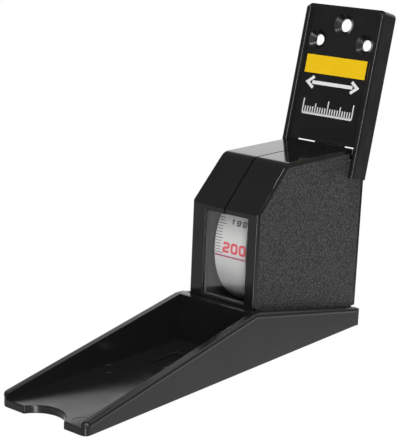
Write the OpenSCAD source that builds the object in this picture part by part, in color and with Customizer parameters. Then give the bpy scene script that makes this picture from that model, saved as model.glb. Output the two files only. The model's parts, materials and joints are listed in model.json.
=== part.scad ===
// Wall-mounted stadiometer: a plate that is screwed to a wall, and a housing with a
// measuring tray that is pulled down from it on a sprung, printed steel tape.
//
// Row frame: X across, +Y towards the wall, +Z up. The origin is midway between the
// lower pair of screw holes, on the rear face of the plate's web.
// The housing, the tray and the tape reel are drawn in a frame of their own: Y is 0 at
// the back of the housing and negative forwards, Z is 0 under the tray. as_hung() puts
// that frame on the hook pin, nodding forwards as the housing does off the wall.

/* [Wall plate] */
// Width of the plate over its side flanges
plate_w = 33; // [30:0.5:40]
// Height of the plate's front web above its lower edge
web_h = 48.9; // [46:0.1:60]
// Thickness of the front web
web_t = 2.5; // [2:0.1:3]
// Depth of the side flanges behind the web
flange_depth = 4.5; // [4:0.1:8]
// Thickness of the side flanges
flange_t = 1.8; // [1.2:0.1:2.2]
// How far the flanges reach below the web
flange_drop = 10.6; // [4:0.1:14]
// How far the rounded beads stand in front of the web
bead_rise = 1.6; // [0.8:0.1:2.5]
// Width of each bead
bead_w = 2.4; // [1.8:0.1:3]
// Radius of the plate's upper corners
plate_corner_r = 2; // [1:0.1:4]
// Height of the lower screw holes above the web's lower edge
hole_z = 36.2; // [34:0.1:40]
// Distance between the two lower screw holes
hole_span = 20; // [18:0.1:22]
// Height of the upper screw hole above the lower pair
top_hole_rise = 6.2; // [6:0.1:7]
// Bore of the lower screw holes
hole_d = 4; // [3:0.1:4.4]
// Bore of the upper screw hole
top_hole_d = 4.7; // [4:0.1:5]
// Width of the countersinks beyond their bores
sink_w = 3.2; // [2:0.1:3.4]
// Depth of the countersinks
sink_depth = 1.5; // [0.8:0.1:1.8]

/* [Label] */
// Width of the label
label_w = 25.6; // [20:0.1:27]
// Height of the label
label_h = 29; // [20:0.1:29]
// Thickness of the label
label_t = 0.25; // [0.1:0.05:0.4]
// Depth of the recess that the label lies in
label_recess = 0.15; // [0.05:0.05:0.3]
// Distance from the lower edge of the web to the label
label_low = 1.8; // [1:0.1:3]

/* [Hook pin and tape end] */
// Radius of the pin that the tape hangs on
pin_r = 1; // [0.8:0.05:1.2]
// Height of the pin above the web's lower edge
pin_rise = 5.2; // [5:0.1:7]
// Distance from the pin to the wall
pin_to_wall = 2.2; // [2.1:0.05:2.3]
// Thickness of the sheet-metal hook
hook_t = 0.5; // [0.3:0.05:0.6]
// Width of the hook
hook_w = 11; // [8:0.1:12]
// Radius of the rivets' shanks
rivet_r = 0.8; // [0.5:0.05:1]
// Distance between the two rivets
rivet_span = 6; // [4:0.1:6.5]

/* [Tape and reel] */
// Width of the tape
tape_w = 13; // [11:0.1:13.4]
// Offset of the tape and its reel from the middle
tape_x = 0.8; // [0:0.1:1.2]
// Thickness of the tape
tape_t = 0.15; // [0.12:0.01:0.18]
// Length of tape that can be pulled out
travel = 2000; // [1000:10:2200]
// Outer radius of the wound tape
coil_r = 22.2; // [21.6:0.05:22.4]
// Height of the reel's axis above the underside of the tray
reel_z = 36.4; // [36:0.1:37]
// Thickness of the reel's rim
rim_t = 1.5; // [1:0.1:2]
// Thickness of the reel's side wall and of its cover
reel_wall = 1.4; // [1:0.1:1.8]
// Radius of the fixed arbor
arbor_r = 3; // [2.5:0.1:3.5]
// Turns of the spiral mainspring
spring_turns = 7; // [3:1:9]
// Thickness of the mainspring's strip
spring_t = 0.4; // [0.3:0.05:0.6]
// Radius of the pin that guides the tape out of the housing
guide_r = 1.5; // [1.2:0.1:1.6]

/* [Housing] */
// Width of the housing
body_w = 27.4; // [26.6:0.1:28]
// Depth of the housing from front to back
body_d = 62.9; // [62.5:0.1:64]
// Height of the housing's top above the underside of the tray
body_top = 66.5; // [66:0.1:68]
// Height at which the sloping face starts
slope_low = 51.2; // [50.8:0.1:52]
// How far the sloping face runs back
slope_run = 15.5; // [10:0.1:18]
// Thickness of the housing's walls
wall = 1.6; // [1.2:0.1:1.8]
// Radius of the housing's rounded edges
edge_r = 0.8; // [0.5:0.1:2]
// Depth of the step in the top that takes the lower edge of the plate
dock_depth = 2; // [1.5:0.1:2.5]
// Length of that step from the back of the housing
dock_run = 8.4; // [8.3:0.1:9]
// Gap between the step and the lower edge of the plate's web
hang_gap = 1.05; // [0.95:0.05:1.5]
// Forward nod of the housing about the pin, off the wall
nod = 13; // [0:0.5:13]
// Thickness of the bosses round the arbor
boss_wall = 2; // [1.5:0.1:2.5]

/* [Window] */
// Width of the window opening
view_w = 17.6; // [15:0.1:18]
// Height of the lower edge of the opening
view_low = 20; // [19.6:0.1:24]
// Height of the opening
view_h = 29.3; // [20:0.1:29.6]
// Thickness of the clear pane
pane_t = 1; // [0.8:0.05:1.1]
// Width of the pane's edge held in its groove
pane_lap = 1.3; // [0.8:0.1:1.3]
// Thickness of the housing in front of the pane
pane_lip = 0.9; // [0.7:0.05:1]

/* [Tray] */
// Length of the tray
tray_l = 146.4; // [140:0.1:160]
// Width of the tray at the back
tray_w = 32.4; // [32:0.1:34]
// Width of the tray at the front
tray_front_w = 35.4; // [33:0.1:37]
// Thickness of the tray's floor
floor_t = 2.6; // [2.4:0.1:3]
// Thickness of the tray's walls
tray_wall = 2; // [1.6:0.1:2]
// Height of the walls at the back
rear_rim = 6.5; // [5:0.1:8]
// Height of the walls beside the front of the housing
knee_rim = 19; // [15:0.1:19.4]
// Height of the walls at the front
front_rim = 4.3; // [4.1:0.1:7]
// Radius of the rounded rim along the walls
rim_r = 1.2; // [1:0.1:1.3]
// Thickness of the cross wall in front of the housing
cross_t = 3.2; // [2:0.1:3.4]
// Radius of the tray's front corners
tray_corner_r = 2.2; // [1.6:0.1:5]
// Radius of the tray's rear corners
heel_r = 1; // [0.6:0.1:1.4]
// Radius of the thumb notch in the front edge
notch_r = 9; // [7:0.1:11]
// Depth of the thumb notch
notch_depth = 5.5; // [3:0.1:7]
// Offset of the thumb notch from the middle
notch_x = 0.4; // [-2:0.1:2]
// Width of the shallow pocket in the floor
pocket_w = 14; // [8:0.5:20]
// Length of the pocket
pocket_l = 15; // [9:0.5:18]
// Depth of the pocket
pocket_depth = 0.8; // [0.4:0.1:1.2]
// Distance from the pocket to the cross wall
pocket_gap = 10; // [6:0.5:20]
// Width of the slot through the pocket's floor
slot_w = 5; // [4:0.5:7]
// Length of the slot
slot_l = 6; // [4:0.5:7]

/* [Fasteners] */
// Radius of the small screws' shanks
screw_r = 1.1; // [0.9:0.05:1.2]
// Radius of the small screws' heads
head_r = 2; // [1.6:0.05:2.1]
// Height of the small screws' heads
head_h = 1.2; // [0.9:0.05:1.3]
// Radius of the bosses that take the screws
boss_r = 2.8; // [2.5:0.1:3]
// Distance between the two screws under the tray
tray_screw_span = 14; // [10:0.1:16]
// Length of the screws under the tray
tray_screw_l = 7.8; // [6:0.1:8]
// How far the arbor's screw reaches into the arbor
arbor_bite = 4.6; // [3:0.1:5]

/* [Clearances] */
// Radial running clearance of pins in their holes
run_gap = 0.05; // [0.02:0.01:0.08]
// Clearance between faces that pass each other
pass_gap = 0.3; // [0.2:0.05:0.4]

/* [Hidden] */
$fn = 64;
eps = 0.01;

// Places on the plate, in the row frame
web_low = -hole_z;
web_high = web_low + web_h;
wall_y = flange_depth;
pin_y = wall_y - pin_to_wall;
pin_z = web_low + pin_rise;
flange_in = plate_w / 2 - flange_t;
pin_seat = flange_t / 2;

// Places in the housing's own frame
hang_y = -pin_to_wall;
body_front = -body_d;
dock_z = body_top - dock_depth;
hang_h = dock_z + hang_gap + pin_rise;
rivet_z = (dock_z + hang_h) / 2 - 0.6;
slope_a = atan2(body_top - slope_low, slope_run);
half_in = body_w / 2 - wall;
coil_gap = 0.4;
pane_y = body_front + pane_lip;
view_x = tape_x - view_w / 2;
front_wall = pane_lip + pane_t + pane_lip;
reel_y = body_front + front_wall + coil_gap + coil_r;
reel_half = tape_w / 2 - 0.1;
coil_in = sqrt(coil_r * coil_r - travel * tape_t / PI);
reel_r = coil_in - run_gap;
spring_room = reel_r - rim_t;
boss_face = reel_half + 1;
hook_out = pin_r + run_gap + hook_t;
tape_y = hang_y - hook_out - tape_t / 2;
guide_z = dock_z - 3.6;
guide_y = tape_y - tape_t / 2 - run_gap - guide_r;
tail_low = dock_z - 0.4;
slot_depth = 2.4;
cross_front = body_front - pass_gap - cross_t;
screw_spots = [[body_front + front_wall + boss_r + pass_gap, floor_t + wall + boss_r + 3],
    [-wall - boss_r - 2.6, rear_rim + 5],
    [(guide_y + body_front + slope_run) / 2, dock_z - wall - boss_r]];
tray_screw_y = body_front / 2;
screw_gap = run_gap;
joint_swell = 0.04;

// Points of an arc about [y, z] or [x, y], from angle a to angle b
function arc(c, r, a, b, n = 8) =
    [for (i = [0:n]) c + r * [cos(a + (b - a) * i / n), sin(a + (b - a) * i / n)]];

// Outline of a strip of thickness t along a list of points
function side(p, i) =
    let (q = p[min(i + 1, len(p) - 1)] - p[max(i - 1, 0)])
    [-q[1], q[0]] / norm(q);
function strip(p, t) = concat(
    [for (i = [0:len(p) - 1]) p[i] + side(p, i) * t / 2],
    [for (i = [len(p) - 1:-1:0]) p[i] - side(p, i) * t / 2]);

// Angle at which the tape leaves the wound tape towards the guide pin
guide_turn_r = guide_r + run_gap + tape_t / 2;
coil_turn_r = coil_r + pass_gap + tape_t / 2;
guide_dy = guide_y - reel_y;
guide_dz = guide_z - reel_z;
leave_a = atan2(guide_dz, guide_dy)
    - acos((coil_turn_r - guide_turn_r) / norm([guide_dy, guide_dz]));

// Puts the housing's own frame on the hook pin, nodding forwards
module as_hung() {
    translate([0, pin_y, pin_z]) rotate([nod, 0, 0]) translate([0, -hang_y, -hang_h])
        children();
}

// Extrudes an outline drawn in Y and Z along X, from x0 to x1
module along_x(x0, x1) {
    translate([x0, 0, 0]) rotate([90, 0, 90]) linear_extrude(height = x1 - x0) children();
}

// Cylinder along X about [y, z], from x0 to x1
module rod_x(y, z, r, x0, x1) {
    translate([x0, y, z]) rotate([0, 90, 0]) cylinder(h = x1 - x0, r = r);
}

// Ring along X about [y, z]
module ring_x(y, z, r_in, r_out, x0, x1) {
    translate([x0, y, z]) rotate([0, 90, 0]) rotate_extrude()
        translate([r_in, 0]) square([r_out - r_in, x1 - x0]);
}

// Countersunk screw hole through the web, opening forwards
module plate_hole(x, z, d) {
    translate([x, eps, z]) rotate([90, 0, 0]) cylinder(h = web_t + 2 * eps, d = d);
    translate([x, sink_depth - web_t, z]) rotate([90, 0, 0])
        cylinder(h = sink_depth + eps, d1 = d, d2 = d + sink_w);
}

module wall_plate() {
    half = plate_w / 2;
    low = web_low - flange_drop;
    color([0.13, 0.13, 0.14]) difference() {
        union() {
            translate([0, 0, web_high]) rotate([90, 0, 0]) translate([0, 0, -wall_y])
                linear_extrude(height = wall_y + web_t)
                    plate_outline(half, web_high - low);
            for (side_x = [-1, 1]) bead(side_x * (half - bead_w / 2), low);
        }
        // Hollow behind the web
        translate([-flange_in, 0, low - eps])
            cube([2 * flange_in, wall_y + eps, web_high - low - web_t + eps]);
        // Open below the web
        translate([-flange_in, -web_t - eps, low - eps])
            cube([2 * flange_in, web_t + 2 * eps, flange_drop + eps]);
        for (side_x = [-1, 1]) plate_hole(side_x * hole_span / 2, 0, hole_d);
        plate_hole(0, top_hole_rise, top_hole_d);
        translate([-label_w / 2 - 0.1, -web_t - eps, web_low + label_low - 0.1])
            cube([label_w + 0.2, label_recess + eps, label_h + 0.2]);
        rod_x(pin_y, pin_z, pin_r + run_gap, -flange_in - pin_seat - run_gap,
            flange_in + pin_seat + run_gap);
    }
}

// Front outline of the plate, hanging down from its top edge
module plate_outline(half, h) {
    polygon(concat([[-half, -h], [half, -h]],
        arc([half - plate_corner_r, -plate_corner_r], plate_corner_r, 0, 90),
        arc([-half + plate_corner_r, -plate_corner_r], plate_corner_r, 90, 180)));
}

// Rounded bead down one edge of the plate, with a domed upper end
module bead(x, low) {
    flat = bead_rise - bead_w / 2;
    h = web_high - plate_corner_r - low;
    translate([x, -web_t, low]) {
        translate([-bead_w / 2, -flat, 0]) cube([bead_w, flat + eps, h]);
        translate([0, -flat, 0]) cylinder(h = h, d = bead_w);
        translate([0, -flat, h]) sphere(d = bead_w);
    }
}

module plate_label() {
    color([0.05, 0.05, 0.05])
        translate([-label_w / 2, -web_t + label_recess - label_t, web_low + label_low])
            cube([label_w, label_t, label_h]);
}

module hook_pin() {
    color("silver")
        rod_x(pin_y, pin_z, pin_r, -flange_in - pin_seat, flange_in + pin_seat);
}

// Folded strap round the pin, with a leaf down the back of the tape
module tape_hook() {
    leaf_low = dock_z + 0.8;
    color([0.75, 0.76, 0.78]) as_hung() difference() {
        union() {
            ring_x(hang_y, hang_h, pin_r + run_gap, hook_out, tape_x - hook_w / 2,
                tape_x + hook_w / 2);
            translate([tape_x - hook_w / 2, hang_y - hook_out, leaf_low])
                cube([hook_w, hook_t, hang_h - leaf_low]);
        }
        rod_x(hang_y, hang_h, pin_r + run_gap, -hook_w, hook_w);
        for (x = [-0.5, 0.5]) rivet_hole(x * rivet_span);
    }
}

// Hole for the rivet at distance x from the middle of the tape
module rivet_hole(x) {
    translate([tape_x + x, hang_y, rivet_z]) rotate([90, 0, 0])
        cylinder(h = 4, r = rivet_r + run_gap);
}

module hook_rivets() {
    back = hang_y - hook_out + hook_t;
    front = tape_y - tape_t / 2;
    color([0.8, 0.72, 0.45]) as_hung() for (x = [-0.5, 0.5])
        translate([tape_x + x * rivet_span, back, rivet_z]) rotate([90, 0, 0]) {
            cylinder(h = back - front + 0.4, r = rivet_r);
            translate([0, 0, back - front]) cylinder(h = 0.4, r1 = rivet_r + 0.6, r2 = rivet_r + 0.2);
            translate([0, 0, -0.3]) cylinder(h = 0.3, r1 = rivet_r + 0.2, r2 = rivet_r + 0.5);
        }
}

// Free end of the tape, from the hook down into the housing's slot
module tape_tail() {
    color([0.93, 0.93, 0.91]) as_hung() difference() {
        translate([tape_x - tape_w / 2, tape_y - tape_t / 2, tail_low])
            cube([tape_w, tape_t, hang_h - 0.6 - tail_low]);
        for (x = [-0.5, 0.5]) rivet_hole(x * rivet_span);
    }
}

// Run of the tape inside the housing, over the guide pin to the wound tape
module tape_run() {
    path = concat([[tape_y, tail_low - 0.1]],
        arc([guide_y, guide_z], guide_turn_r, 0, leave_a, 4),
        [[reel_y, reel_z] + coil_turn_r * [cos(leave_a), sin(leave_a)]]);
    color([0.93, 0.93, 0.91]) as_hung()
        along_x(tape_x - tape_w / 2, tape_x + tape_w / 2)
            polygon(strip(path, tape_t));
}

module tape_coil() {
    color([0.95, 0.95, 0.93]) as_hung()
        ring_x(reel_y, reel_z, coil_in, coil_r, tape_x - tape_w / 2, tape_x + tape_w / 2);
}

// Reel: a rim and one side wall, turning on the arbor
module tape_reel() {
    color([0.2, 0.2, 0.22]) as_hung() translate([tape_x, reel_y, reel_z]) rotate([0, 90, 0])
        rotate_extrude() polygon([
            [arbor_r + run_gap, -reel_half], [reel_r, -reel_half], [reel_r, reel_half],
            [reel_r - rim_t / 2, reel_half], [reel_r - rim_t / 2, reel_half - reel_wall],
            [spring_room, reel_half - reel_wall], [spring_room, -reel_half + reel_wall],
            [arbor_r + run_gap, -reel_half + reel_wall]]);
}

module reel_cover() {
    color([0.25, 0.25, 0.27]) as_hung()
        ring_x(reel_y, reel_z, arbor_r + run_gap, reel_r - rim_t / 2 - run_gap,
            tape_x + reel_half - reel_wall + run_gap, tape_x + reel_half);
}

// Spiral strip from the arbor's slot out to the rim
module mainspring() {
    steps = 30 * spring_turns;
    inner = arbor_r + 0.5;
    outer = spring_room - pass_gap - spring_t;
    half = reel_half - reel_wall - pass_gap;
    spiral = [for (i = [0:steps])
        (inner + (outer - inner) * i / steps)
            * [cos(360 * spring_turns * i / steps), sin(360 * spring_turns * i / steps)]];
    color([0.35, 0.4, 0.5]) as_hung() translate([tape_x, reel_y, reel_z]) along_x(-half, half)
        polygon(strip(concat([[1.4, 0]], spiral), spring_t));
}

module arbor() {
    slot = spring_t + 2 * run_gap;
    color("silver") as_hung() difference() {
        rod_x(reel_y, reel_z, arbor_r, -half_in, half_in);
        translate([tape_x - reel_half + reel_wall, reel_y + 1, reel_z - slot / 2])
            cube([2 * (reel_half - reel_wall), arbor_r, slot]);
        rod_x(reel_y, reel_z, screw_r + screw_gap, -half_in - eps, -half_in + arbor_bite + 0.4);
    }
}

module arbor_screw() {
    color("silver") as_hung() {
        rod_x(reel_y, reel_z, screw_r, -body_w / 2 + 0.6, -half_in + arbor_bite);
        rod_x(reel_y, reel_z, head_r, -body_w / 2 - 0.5, -body_w / 2 + 0.7);
    }
}

// One washer on the arbor at each side of the reel
module thrust_washers() {
    t = boss_face - reel_half - 2 * run_gap;
    color([0.85, 0.8, 0.65]) as_hung() translate([tape_x, 0, 0])
        for (x = [-boss_face + run_gap, reel_half + run_gap]) ring_x(reel_y, reel_z,
            arbor_r + run_gap, arbor_r + boss_wall, x, x + t);
}

module guide_pin() {
    color("silver") as_hung()
        rod_x(guide_y, guide_z, guide_r, -half_in - wall / 2, half_in + wall / 2);
}

// Side outline of the housing, inset by d from its outer faces
module body_side(d, foot) {
    step_y = -tray_wall - 0.2;
    r = max(edge_r - d, 0.3);
    top = body_top - d;
    low_turn = (r + d) * tan((90 - slope_a) / 2);
    top_turn = (r + d) * tan(slope_a / 2);
    polygon(concat(
        [[body_front + d, foot]],
        arc([body_front + d + r, slope_low - low_turn], r, 180, 90 + slope_a, 3),
        arc([body_front + slope_run + top_turn, top - r], r, 90 + slope_a, 90, 3),
        [[-dock_run - d, top], [-dock_run - d, dock_z - d], [-d, dock_z - d],
            [-d, rear_rim + 0.5 + d], [step_y - d, rear_rim + 0.5 + d], [step_y - d, foot]]));
}

// Outline of the housing seen from above, with rounded front corners
module body_plan(half) {
    polygon(concat([[-half, 0], [-half, body_front + edge_r]],
        arc([-half + edge_r, body_front + edge_r], edge_r, 180, 270),
        arc([half - edge_r, body_front + edge_r], edge_r, 270, 360), [[half, 0]]));
}

// The whole housing before it is parted at X = 0
module housing_shell() {
    half = body_w / 2;
    difference() {
        union() {
            difference() {
                intersection() {
                    along_x(-half, half) body_side(0, floor_t);
                    translate([0, 0, floor_t]) linear_extrude(height = body_top)
                        body_plan(half);
                }
                intersection() {
                    along_x(-half_in, half_in) body_side(wall, floor_t + wall);
                    translate([-half, body_front + front_wall, 0])
                        cube([2 * half, body_d, body_top]);
                }
            }
            // Bosses for the arbor, the guide pin and the screws
            for (x = [[-half_in - eps, tape_x - boss_face], [tape_x + boss_face, half_in + eps]])
                rod_x(reel_y, reel_z, arbor_r + boss_wall, x[0], x[1]);
            for (x = [-half_in - eps, half_in - 2])
                rod_x(guide_y, guide_z, guide_r + boss_wall / 2, x, x + 2 + eps);
            for (p = screw_spots) rod_x(p[0], p[1], boss_r, -half_in - eps, half_in + eps);
            for (x = [-0.5, 0.5]) translate([x * tray_screw_span, tray_screw_y, floor_t])
                cylinder(h = tray_screw_l - head_h + 0.8, r = boss_r);
        }
        rod_x(reel_y, reel_z, arbor_r + run_gap, -half_in, half_in);
        rod_x(guide_y, guide_z, guide_r + run_gap, -half_in - wall / 2 - run_gap,
            half_in + wall / 2 + run_gap);
        // Arbor screw and its head
        rod_x(reel_y, reel_z, screw_r + screw_gap, -half - eps, -half_in + eps);
        // Screws that join the halves, with their heads sunk in the left side
        for (p = screw_spots) {
            rod_x(p[0], p[1], screw_r + screw_gap, -half - eps, half_in - 3);
            rod_x(p[0], p[1], head_r + 0.2, -half - eps, -half + head_h + 0.6);
        }
        rod_x(reel_y, reel_z, head_r + 0.2, -half - eps, -half + 0.7);
        for (x = [-0.5, 0.5]) translate([x * tray_screw_span, tray_screw_y, floor_t - eps])
            cylinder(h = tray_screw_l - floor_t + 0.8, r = screw_r + screw_gap);
        // Window opening and the groove for the pane
        translate([view_x, body_front - eps, view_low])
            cube([view_w, front_wall + 2 * eps, view_h]);
        translate([view_x - pane_lap - run_gap, pane_y - run_gap,
            view_low - pane_lap - run_gap])
            cube([view_w + 2 * (pane_lap + run_gap), pane_t + 2 * run_gap,
                view_h + 2 * (pane_lap + run_gap)]);
        // Slot for the tape in the step under the plate
        translate([tape_x - tape_w / 2 - pass_gap, tape_y - slot_depth / 2, dock_z - wall - eps])
            cube([tape_w + 2 * pass_gap, slot_depth, wall + 2 * eps]);
    }
}

module housing_left() {
    color([0.12, 0.12, 0.13]) as_hung() intersection() {
        housing_shell();
        translate([-body_w, -body_d - 1, 0]) cube([body_w, body_d + 2, body_top + 1]);
    }
}

module housing_right() {
    color([0.14, 0.14, 0.15]) as_hung() intersection() {
        housing_shell();
        translate([0, -body_d - 1, 0]) cube([body_w, body_d + 2, body_top + 1]);
    }
}

// Screws along X that join the two halves of the housing
module housing_screws() {
    seat = -body_w / 2 + head_h + 0.6;
    color("silver") as_hung() for (p = screw_spots) {
        rod_x(p[0], p[1], screw_r, seat - eps, half_in - 3.4);
        rod_x(p[0], p[1], head_r, seat - head_h, seat);
    }
}

module window_pane() {
    color([0.85, 0.9, 0.92, 0.4]) as_hung()
        translate([view_x - pane_lap, pane_y, view_low - pane_lap])
            cube([view_w + 2 * pane_lap, pane_t, view_h + 2 * pane_lap]);
}

// Outline of the tray seen from above, inset by d
module tray_plan(d) {
    back = tray_w / 2 - d;
    front = tray_front_w / 2 - d;
    r = max(tray_corner_r - d, 0.5);
    b = d > 0 ? 0.5 : heel_r;
    polygon(concat(
        arc([back - b, -d - b], b, 0, 90, 6), arc([-back + b, -d - b], b, 90, 180, 6),
        arc([-front + r, -tray_l + r], r, 180, 270, 6),
        arc([front - r, -tray_l + r], r, 270, 360, 6)));
}

// Side outline of the tray, with its walls highest beside the housing's front
module tray_side() {
    polygon(concat([[0, 0]], arc([-heel_r, rear_rim - heel_r], heel_r, 0, 90, 4),
        [[-3, rear_rim + 0.4], [cross_front + cross_t, knee_rim], [cross_front, knee_rim]],
        arc([-tray_l + rim_r, front_rim - rim_r], rim_r, 90, 180, 4), [[-tray_l, 0]]));
}

// Round bar of radius r from point p to point q
module bar(p, q, r) {
    d = q - p;
    translate(p) rotate([0, acos(d[2] / norm(d)), atan2(d[1], d[0])])
        cylinder(h = norm(d), r = r);
}

// Middle of the side wall's thickness at distance y from the back
function wall_mid(y) =
    tray_w / 2 + (tray_front_w - tray_w) / 2 * -y / tray_l - tray_wall / 2;

// Rounded rim along the walls: over each side, and across in front of the housing
module tray_rim() {
    front_y = -tray_l + rim_r + 0.6;
    knee_y = cross_front + cross_t / 2;
    back_y = -rim_r - heel_r;
    knee_z = knee_rim - rim_r;
    for (s = [-1, 1]) {
        front = [s * wall_mid(front_y), front_y, front_rim - rim_r + 0.2];
        knee = [s * wall_mid(knee_y), knee_y, knee_z];
        back = [s * wall_mid(back_y), back_y, rear_rim - rim_r + 0.6];
        bar(front, knee, rim_r);
        bar(back, knee, rim_r);
        translate(front) sphere(r = rim_r + joint_swell);
        translate(knee) sphere(r = rim_r + joint_swell);
    }
    bar([-wall_mid(knee_y), knee_y, knee_z], [wall_mid(knee_y), knee_y, knee_z], rim_r);
}

module head_tray() {
    color([0.1, 0.1, 0.11]) as_hung() difference() {
        union() {
            intersection() {
                linear_extrude(height = knee_rim) tray_plan(0);
                along_x(-tray_front_w, tray_front_w) tray_side();
            }
            tray_rim();
        }
        // Open front compartment
        intersection() {
            translate([0, 0, floor_t]) linear_extrude(height = knee_rim) tray_plan(tray_wall);
            translate([-tray_front_w, -tray_l - 1, 0])
                cube([2 * tray_front_w, tray_l + 1 + cross_front, 2 * knee_rim]);
        }
        translate([-tray_front_w / 2 + tray_wall, -tray_l - 1, floor_t])
            cube([tray_front_w - 2 * tray_wall, tray_corner_r + 1, knee_rim]);
        // Rear compartment round the foot of the housing
        intersection() {
            translate([0, 0, floor_t]) linear_extrude(height = knee_rim) tray_plan(tray_wall);
            translate([-tray_front_w, cross_front + cross_t, 0])
                cube([2 * tray_front_w, tray_l, 2 * knee_rim]);
        }
        // Thumb notch in the front edge
        translate([notch_x, -tray_l - notch_r + notch_depth, -eps])
            cylinder(h = floor_t + 2 * eps, r = notch_r);
        // Shallow pocket and slot in the floor
        translate([-pocket_w / 2, cross_front - pocket_gap - pocket_l, floor_t - pocket_depth])
            cube([pocket_w, pocket_l, pocket_depth + eps]);
        translate([-slot_w / 2, cross_front - pocket_gap - pocket_l + 1, -eps])
            cube([slot_w, slot_l, floor_t]);
        for (x = [-0.5, 0.5]) translate([x * tray_screw_span, tray_screw_y, -eps]) {
            cylinder(h = floor_t + 2 * eps, r = screw_r + screw_gap);
            cylinder(h = head_h + 0.2 + eps, r = head_r + 0.2);
        }
    }
}

module tray_screws() {
    color("silver") as_hung() for (x = [-0.5, 0.5])
        translate([x * tray_screw_span, tray_screw_y, 0]) {
            translate([0, 0, 0.2]) cylinder(h = head_h, r = head_r);
            translate([0, 0, 0.2]) cylinder(h = tray_screw_l, r = screw_r);
        }
}

wall_plate();
plate_label();
hook_pin();
tape_hook();
hook_rivets();
tape_tail();
tape_run();
tape_coil();
tape_reel();
reel_cover();
mainspring();
arbor();
arbor_screw();
thrust_washers();
guide_pin();
housing_left();
housing_right();
housing_screws();
window_pane();
head_tray();
tray_screws();
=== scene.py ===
"""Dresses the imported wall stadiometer: moulded shells, printed tape, label and studio."""

import json
import math

import bmesh
import bpy
from mathutils import Matrix, Vector


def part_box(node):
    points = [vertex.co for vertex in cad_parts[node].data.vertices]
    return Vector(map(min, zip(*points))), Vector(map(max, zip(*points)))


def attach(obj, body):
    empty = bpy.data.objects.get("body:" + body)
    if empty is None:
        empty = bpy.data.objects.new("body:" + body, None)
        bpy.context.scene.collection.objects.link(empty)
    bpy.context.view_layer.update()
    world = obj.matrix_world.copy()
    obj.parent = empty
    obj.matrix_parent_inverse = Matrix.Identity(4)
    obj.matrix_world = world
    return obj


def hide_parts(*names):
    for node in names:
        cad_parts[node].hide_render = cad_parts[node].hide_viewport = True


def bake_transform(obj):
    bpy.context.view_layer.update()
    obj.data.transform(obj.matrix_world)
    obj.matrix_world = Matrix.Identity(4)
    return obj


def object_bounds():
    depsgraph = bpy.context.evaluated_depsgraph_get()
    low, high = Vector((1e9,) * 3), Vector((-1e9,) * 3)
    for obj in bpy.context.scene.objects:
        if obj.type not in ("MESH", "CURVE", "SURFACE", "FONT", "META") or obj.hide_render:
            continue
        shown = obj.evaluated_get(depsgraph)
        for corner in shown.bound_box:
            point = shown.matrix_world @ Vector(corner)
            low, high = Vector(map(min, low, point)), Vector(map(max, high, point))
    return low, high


bl_info = {
    "name": "Wall stadiometer",
    "version": (1, 0, 0),
    "blender": (4, 5, 0),
    "location": "View3D > Sidebar > Stadiometer",
    "description": "Dresses the wall stadiometer's packed model with shells, print and a studio",
    "category": "Object",
}

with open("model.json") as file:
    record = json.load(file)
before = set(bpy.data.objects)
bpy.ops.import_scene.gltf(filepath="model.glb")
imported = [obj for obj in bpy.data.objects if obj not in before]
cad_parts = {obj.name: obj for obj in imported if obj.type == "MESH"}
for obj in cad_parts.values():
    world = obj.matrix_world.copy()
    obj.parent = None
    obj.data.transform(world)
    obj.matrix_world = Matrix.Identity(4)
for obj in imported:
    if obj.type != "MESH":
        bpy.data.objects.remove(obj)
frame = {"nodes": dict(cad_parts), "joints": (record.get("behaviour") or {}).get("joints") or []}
cad_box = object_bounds()

# The housing's own frame: Y is 0 at its back, Z is 0 under the tray. The joints say how
# it hangs from the pin in the row frame.
MM = 0.001
joints = {joint["name"]: joint for joint in frame["joints"]}
PIN = Vector(joints["hook_swing"]["pos_m"])
PULL = Vector(joints["pull_down"]["axis"])
TRAVEL = joints["pull_down"]["range_m"][1]
NOD = math.atan2(PULL.y, -PULL.z)
PIN_IN_HOUSING = Vector((0, -2.2, 70.75)) * MM
HUNG = (
    Matrix.Translation(PIN)
    @ Matrix.Rotation(NOD, 4, "X")
    @ Matrix.Translation(-PIN_IN_HOUSING)
)
HOUSED = HUNG.inverted()
REEL = HOUSED @ Vector(joints["reel_spin"]["pos_m"])
# The housing's sloping face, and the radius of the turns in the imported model
SLOPE_LOW = 51.2 * MM
SLOPE_RUN = 15.5 * MM
CAD_TURN = 0.8 * MM
# How deep a face may lie and still be an outer one, and how far off a face a point may be
SKIN = 0.5 * MM
TOUCH = 0.05 * MM
# Faces across X have normals with at least this share along X
SIDEWAYS = 0.999
# Points this close are one point, and faces this close in angle are one face
MERGE = 0.002 * MM
FLAT = math.radians(0.4)
# How far outside a turn's arc, as a cosine, a point may lie and still be on it
TURN_SLACK = 0.001
# Edges over SHARP are rounded in EDGE_STEPS faces; edges under SMOOTH are shaded smooth
SHARP = math.radians(40)
SMOOTH = math.radians(38)
EDGE_STEPS = 3


def box_of(points):
    """Lowest and highest corners of some points."""
    low = Vector(min(p[i] for p in points) for i in range(3))
    high = Vector(max(p[i] for p in points) for i in range(3))
    return low, high


def own_box(*nodes):
    """Lowest and highest corners of CAD nodes in the housing's own frame."""
    return box_of([HOUSED @ v.co for node in nodes for v in frame["nodes"][node].data.vertices])


BODY = own_box("housing_left", "housing_right")
TRAY = own_box("head_tray")
COIL = own_box("tape_coil")
COIL_R = (COIL[1].z - COIL[0].z) / 2
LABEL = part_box("plate_label")


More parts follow.
